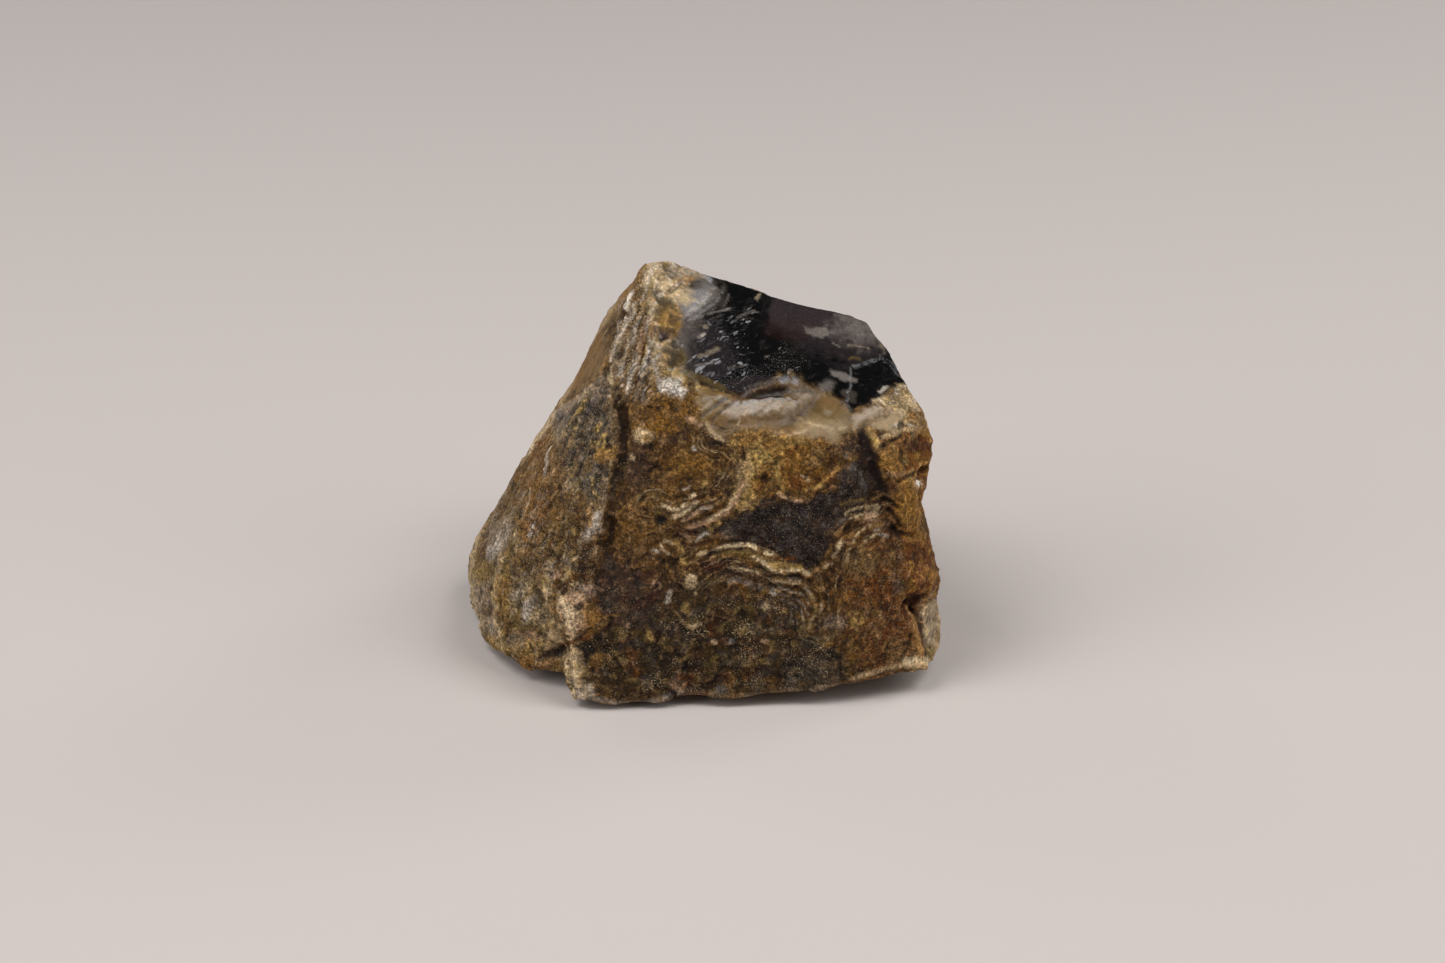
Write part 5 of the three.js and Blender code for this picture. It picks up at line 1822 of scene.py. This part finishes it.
strands, strands_in = new_group("strands", "Strand")
place = strands_in["Place"]
amount = strands_in["Amount"]
lines = add(strands, "TexNoise", {"Vector": place, "Scale": 1.0, "Detail": 4.0, "Roughness": 0.7})
pale = maths(strands, "MULTIPLY", fade(strands, lines.outputs["Fac"], PALE_FROM, PALE_FULL), amount)
dark = maths(strands, "MULTIPLY", fade(strands, lines.outputs["Fac"], DARK_FROM, DARK_FULL), amount)
pale_share = maths(strands, "MULTIPLY", pale, PALE_COVER)
laid = blend(strands, pale_share, strands_in["Colour"], strands_in["Strand"])
darkened = scaled(strands, laid, fade(strands, dark, 0.0, 1.0, 1.0, DARKENED_TO))
close_group(strands, darkened, maths(strands, "SUBTRACT", pale, dark))

# %% [markdown]
# `glass_flakes` makes the angular pale chips in the dark glass. A Voronoi pattern has straight-sided cells,
# and each has random numbers of its own: one decides whether the cell is a flake, the other how pale it is.

# %% Flake group
CELLS_PER_MM = 2.6
MOST_FLAKES = 0.42
FAINTEST, BRIGHTEST = 0.1, 0.9

flake, flake_in = new_group("glass_flakes", "Flake")
cells = add(flake, "TexVoronoi", {"Vector": flake_in["Place"], "Scale": CELLS_PER_MM, "Randomness": 1.0})
luck = add(flake, "SeparateColor", {"Color": cells.outputs["Color"]})
flake_share = maths(flake, "MULTIPLY", flake_in["Amount"], MOST_FLAKES)
chosen = maths(flake, "LESS_THAN", luck.outputs["Red"], flake_share)
how_pale = fade(flake, luck.outputs["Green"], 0.0, 1.0, FAINTEST, BRIGHTEST)
paleness = maths(flake, "MULTIPLY", chosen, how_pale)
close_group(flake, blend(flake, paleness, flake_in["Colour"], flake_in["Flake"]), paleness)

# %% [markdown]
# Three finishes use these groups: the rough rind, the glassy break and the milky ledge. They differ in what
# is the same all over each of them, such as how strongly it reflects, and each face of the mesh is given the
# one whose zone it lies in. Roughness follows the painted gloss in all three, so that no border shows.

# %% Finishes of the stone
MM_PER_METRE = 1000.0
ROUGH, POLISHED = 0.70, 0.15
BUMP_STRENGTH = 0.9


def stone_finish(name, bump_depth, **sockets):
    """A finish of the stone, with the shader's own values for what is the same all over it."""
    material = bpy.data.materials.new(name)
    material.use_nodes = True
    tree = material.node_tree
    shader = tree.nodes["Principled BSDF"]
    for socket, value in sockets.items():
        shader.inputs[socket.replace("_", " ")].default_value = value
    in_mm = scaled(tree, add(tree, "TexCoord").outputs["Object"], MM_PER_METRE)
    painted = {
        layer: add(tree, "Attribute", attribute_name=layer)
        for layer in (*COLOURS, *AMOUNTS, "strand_place", "strand_amount")
    }
    colour = painted["ground"].outputs["Color"]
    accent = painted["accent"].outputs["Color"]
    strand_vector = painted["strand_place"].outputs["Vector"]
    heights = []
    # Each row: group, its place, its second colour, its amount, and its share in the bump.
    for group, where, over, how_much, share in (
        (strands, strand_vector, "Strand", "strand_amount", 0.35),
        (grain, in_mm, None, "grit", 1.0),
        (fleck, in_mm, "Fleck", "flecks", 0.15),
        (flake, strand_vector, "Flake", "flakes", 0.25),
    ):
        node = add(tree, "Group", node_tree=group)
        amount = painted[how_much].outputs["Fac"]
        tree.links.new(where, node.inputs["Place"])
        tree.links.new(colour, node.inputs["Colour"])
        tree.links.new(amount, node.inputs["Amount"])
        if over:
            tree.links.new(accent, node.inputs[over])
        colour = node.outputs["Colour"]
        height = maths(tree, "MULTIPLY", node.outputs["Height"], share)
        heights.append(maths(tree, "MULTIPLY", height, amount) if group is grain else height)
    tree.links.new(colour, shader.inputs["Base Color"])
    rough = fade(tree, painted["gloss"].outputs["Fac"], 0.0, 1.0, ROUGH, POLISHED)
    tree.links.new(rough, shader.inputs["Roughness"])
    total = heights[0]
    for height in heights[1:]:
        total = maths(tree, "ADD", total, height)
    bump = add(tree, "Bump", {"Height": total, "Strength": BUMP_STRENGTH, "Distance": bump_depth})
    tree.links.new(bump.outputs["Normal"], shader.inputs["Normal"])
    return material


finishes = [
    stone_finish("weathered_rind", 0.40 * MM, Specular_IOR_Level=0.20),
    stone_finish("glassy_break", 0.15 * MM, Specular_IOR_Level=0.22),
    stone_finish(
        "milky_chalcedony", 0.25 * MM,
        Specular_IOR_Level=0.35, Subsurface_Weight=0.2, Subsurface_Scale=0.8 * MM,
    ),
]
print("finishes", [finish.name for finish in finishes])

# %% [markdown]
# A face takes the glassy or the milky finish when more than half of that zone's mask covers it, and the rind
# otherwise. Then the stone gets its name and goes into the scene.

# %% Finish of each face
MOSTLY = 0.5
RIND, GLASSY, MILKY = 0, 1, 2

stone_mesh.materials.clear()
for finish in finishes:
    stone_mesh.materials.append(finish)
corners = np.empty(len(stone_mesh.polygons) * 3, int)
stone_mesh.polygons.foreach_get("vertices", corners)
corners = corners.reshape(-1, 3)
glassy = zone["top"][corners].mean(axis=1) > MOSTLY
milky = (np.maximum(zone["ledge"], zone["apex"])[corners].mean(axis=1) > MOSTLY) & ~glassy
finish_of_face = np.where(glassy, GLASSY, np.where(milky, MILKY, RIND))
stone_mesh.polygons.foreach_set("material_index", finish_of_face)
stone_mesh.shade_smooth()
stone = bpy.data.objects.new("agate_stone", stone_mesh)
bpy.context.scene.collection.objects.link(stone)
print("glassy faces", glassy.sum(), "milky faces", milky.sum())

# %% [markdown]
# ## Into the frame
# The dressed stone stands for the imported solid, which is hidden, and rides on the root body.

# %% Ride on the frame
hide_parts("rough_agate")
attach(stone, "root")
print("pieces that ride on the frame", stone.name)
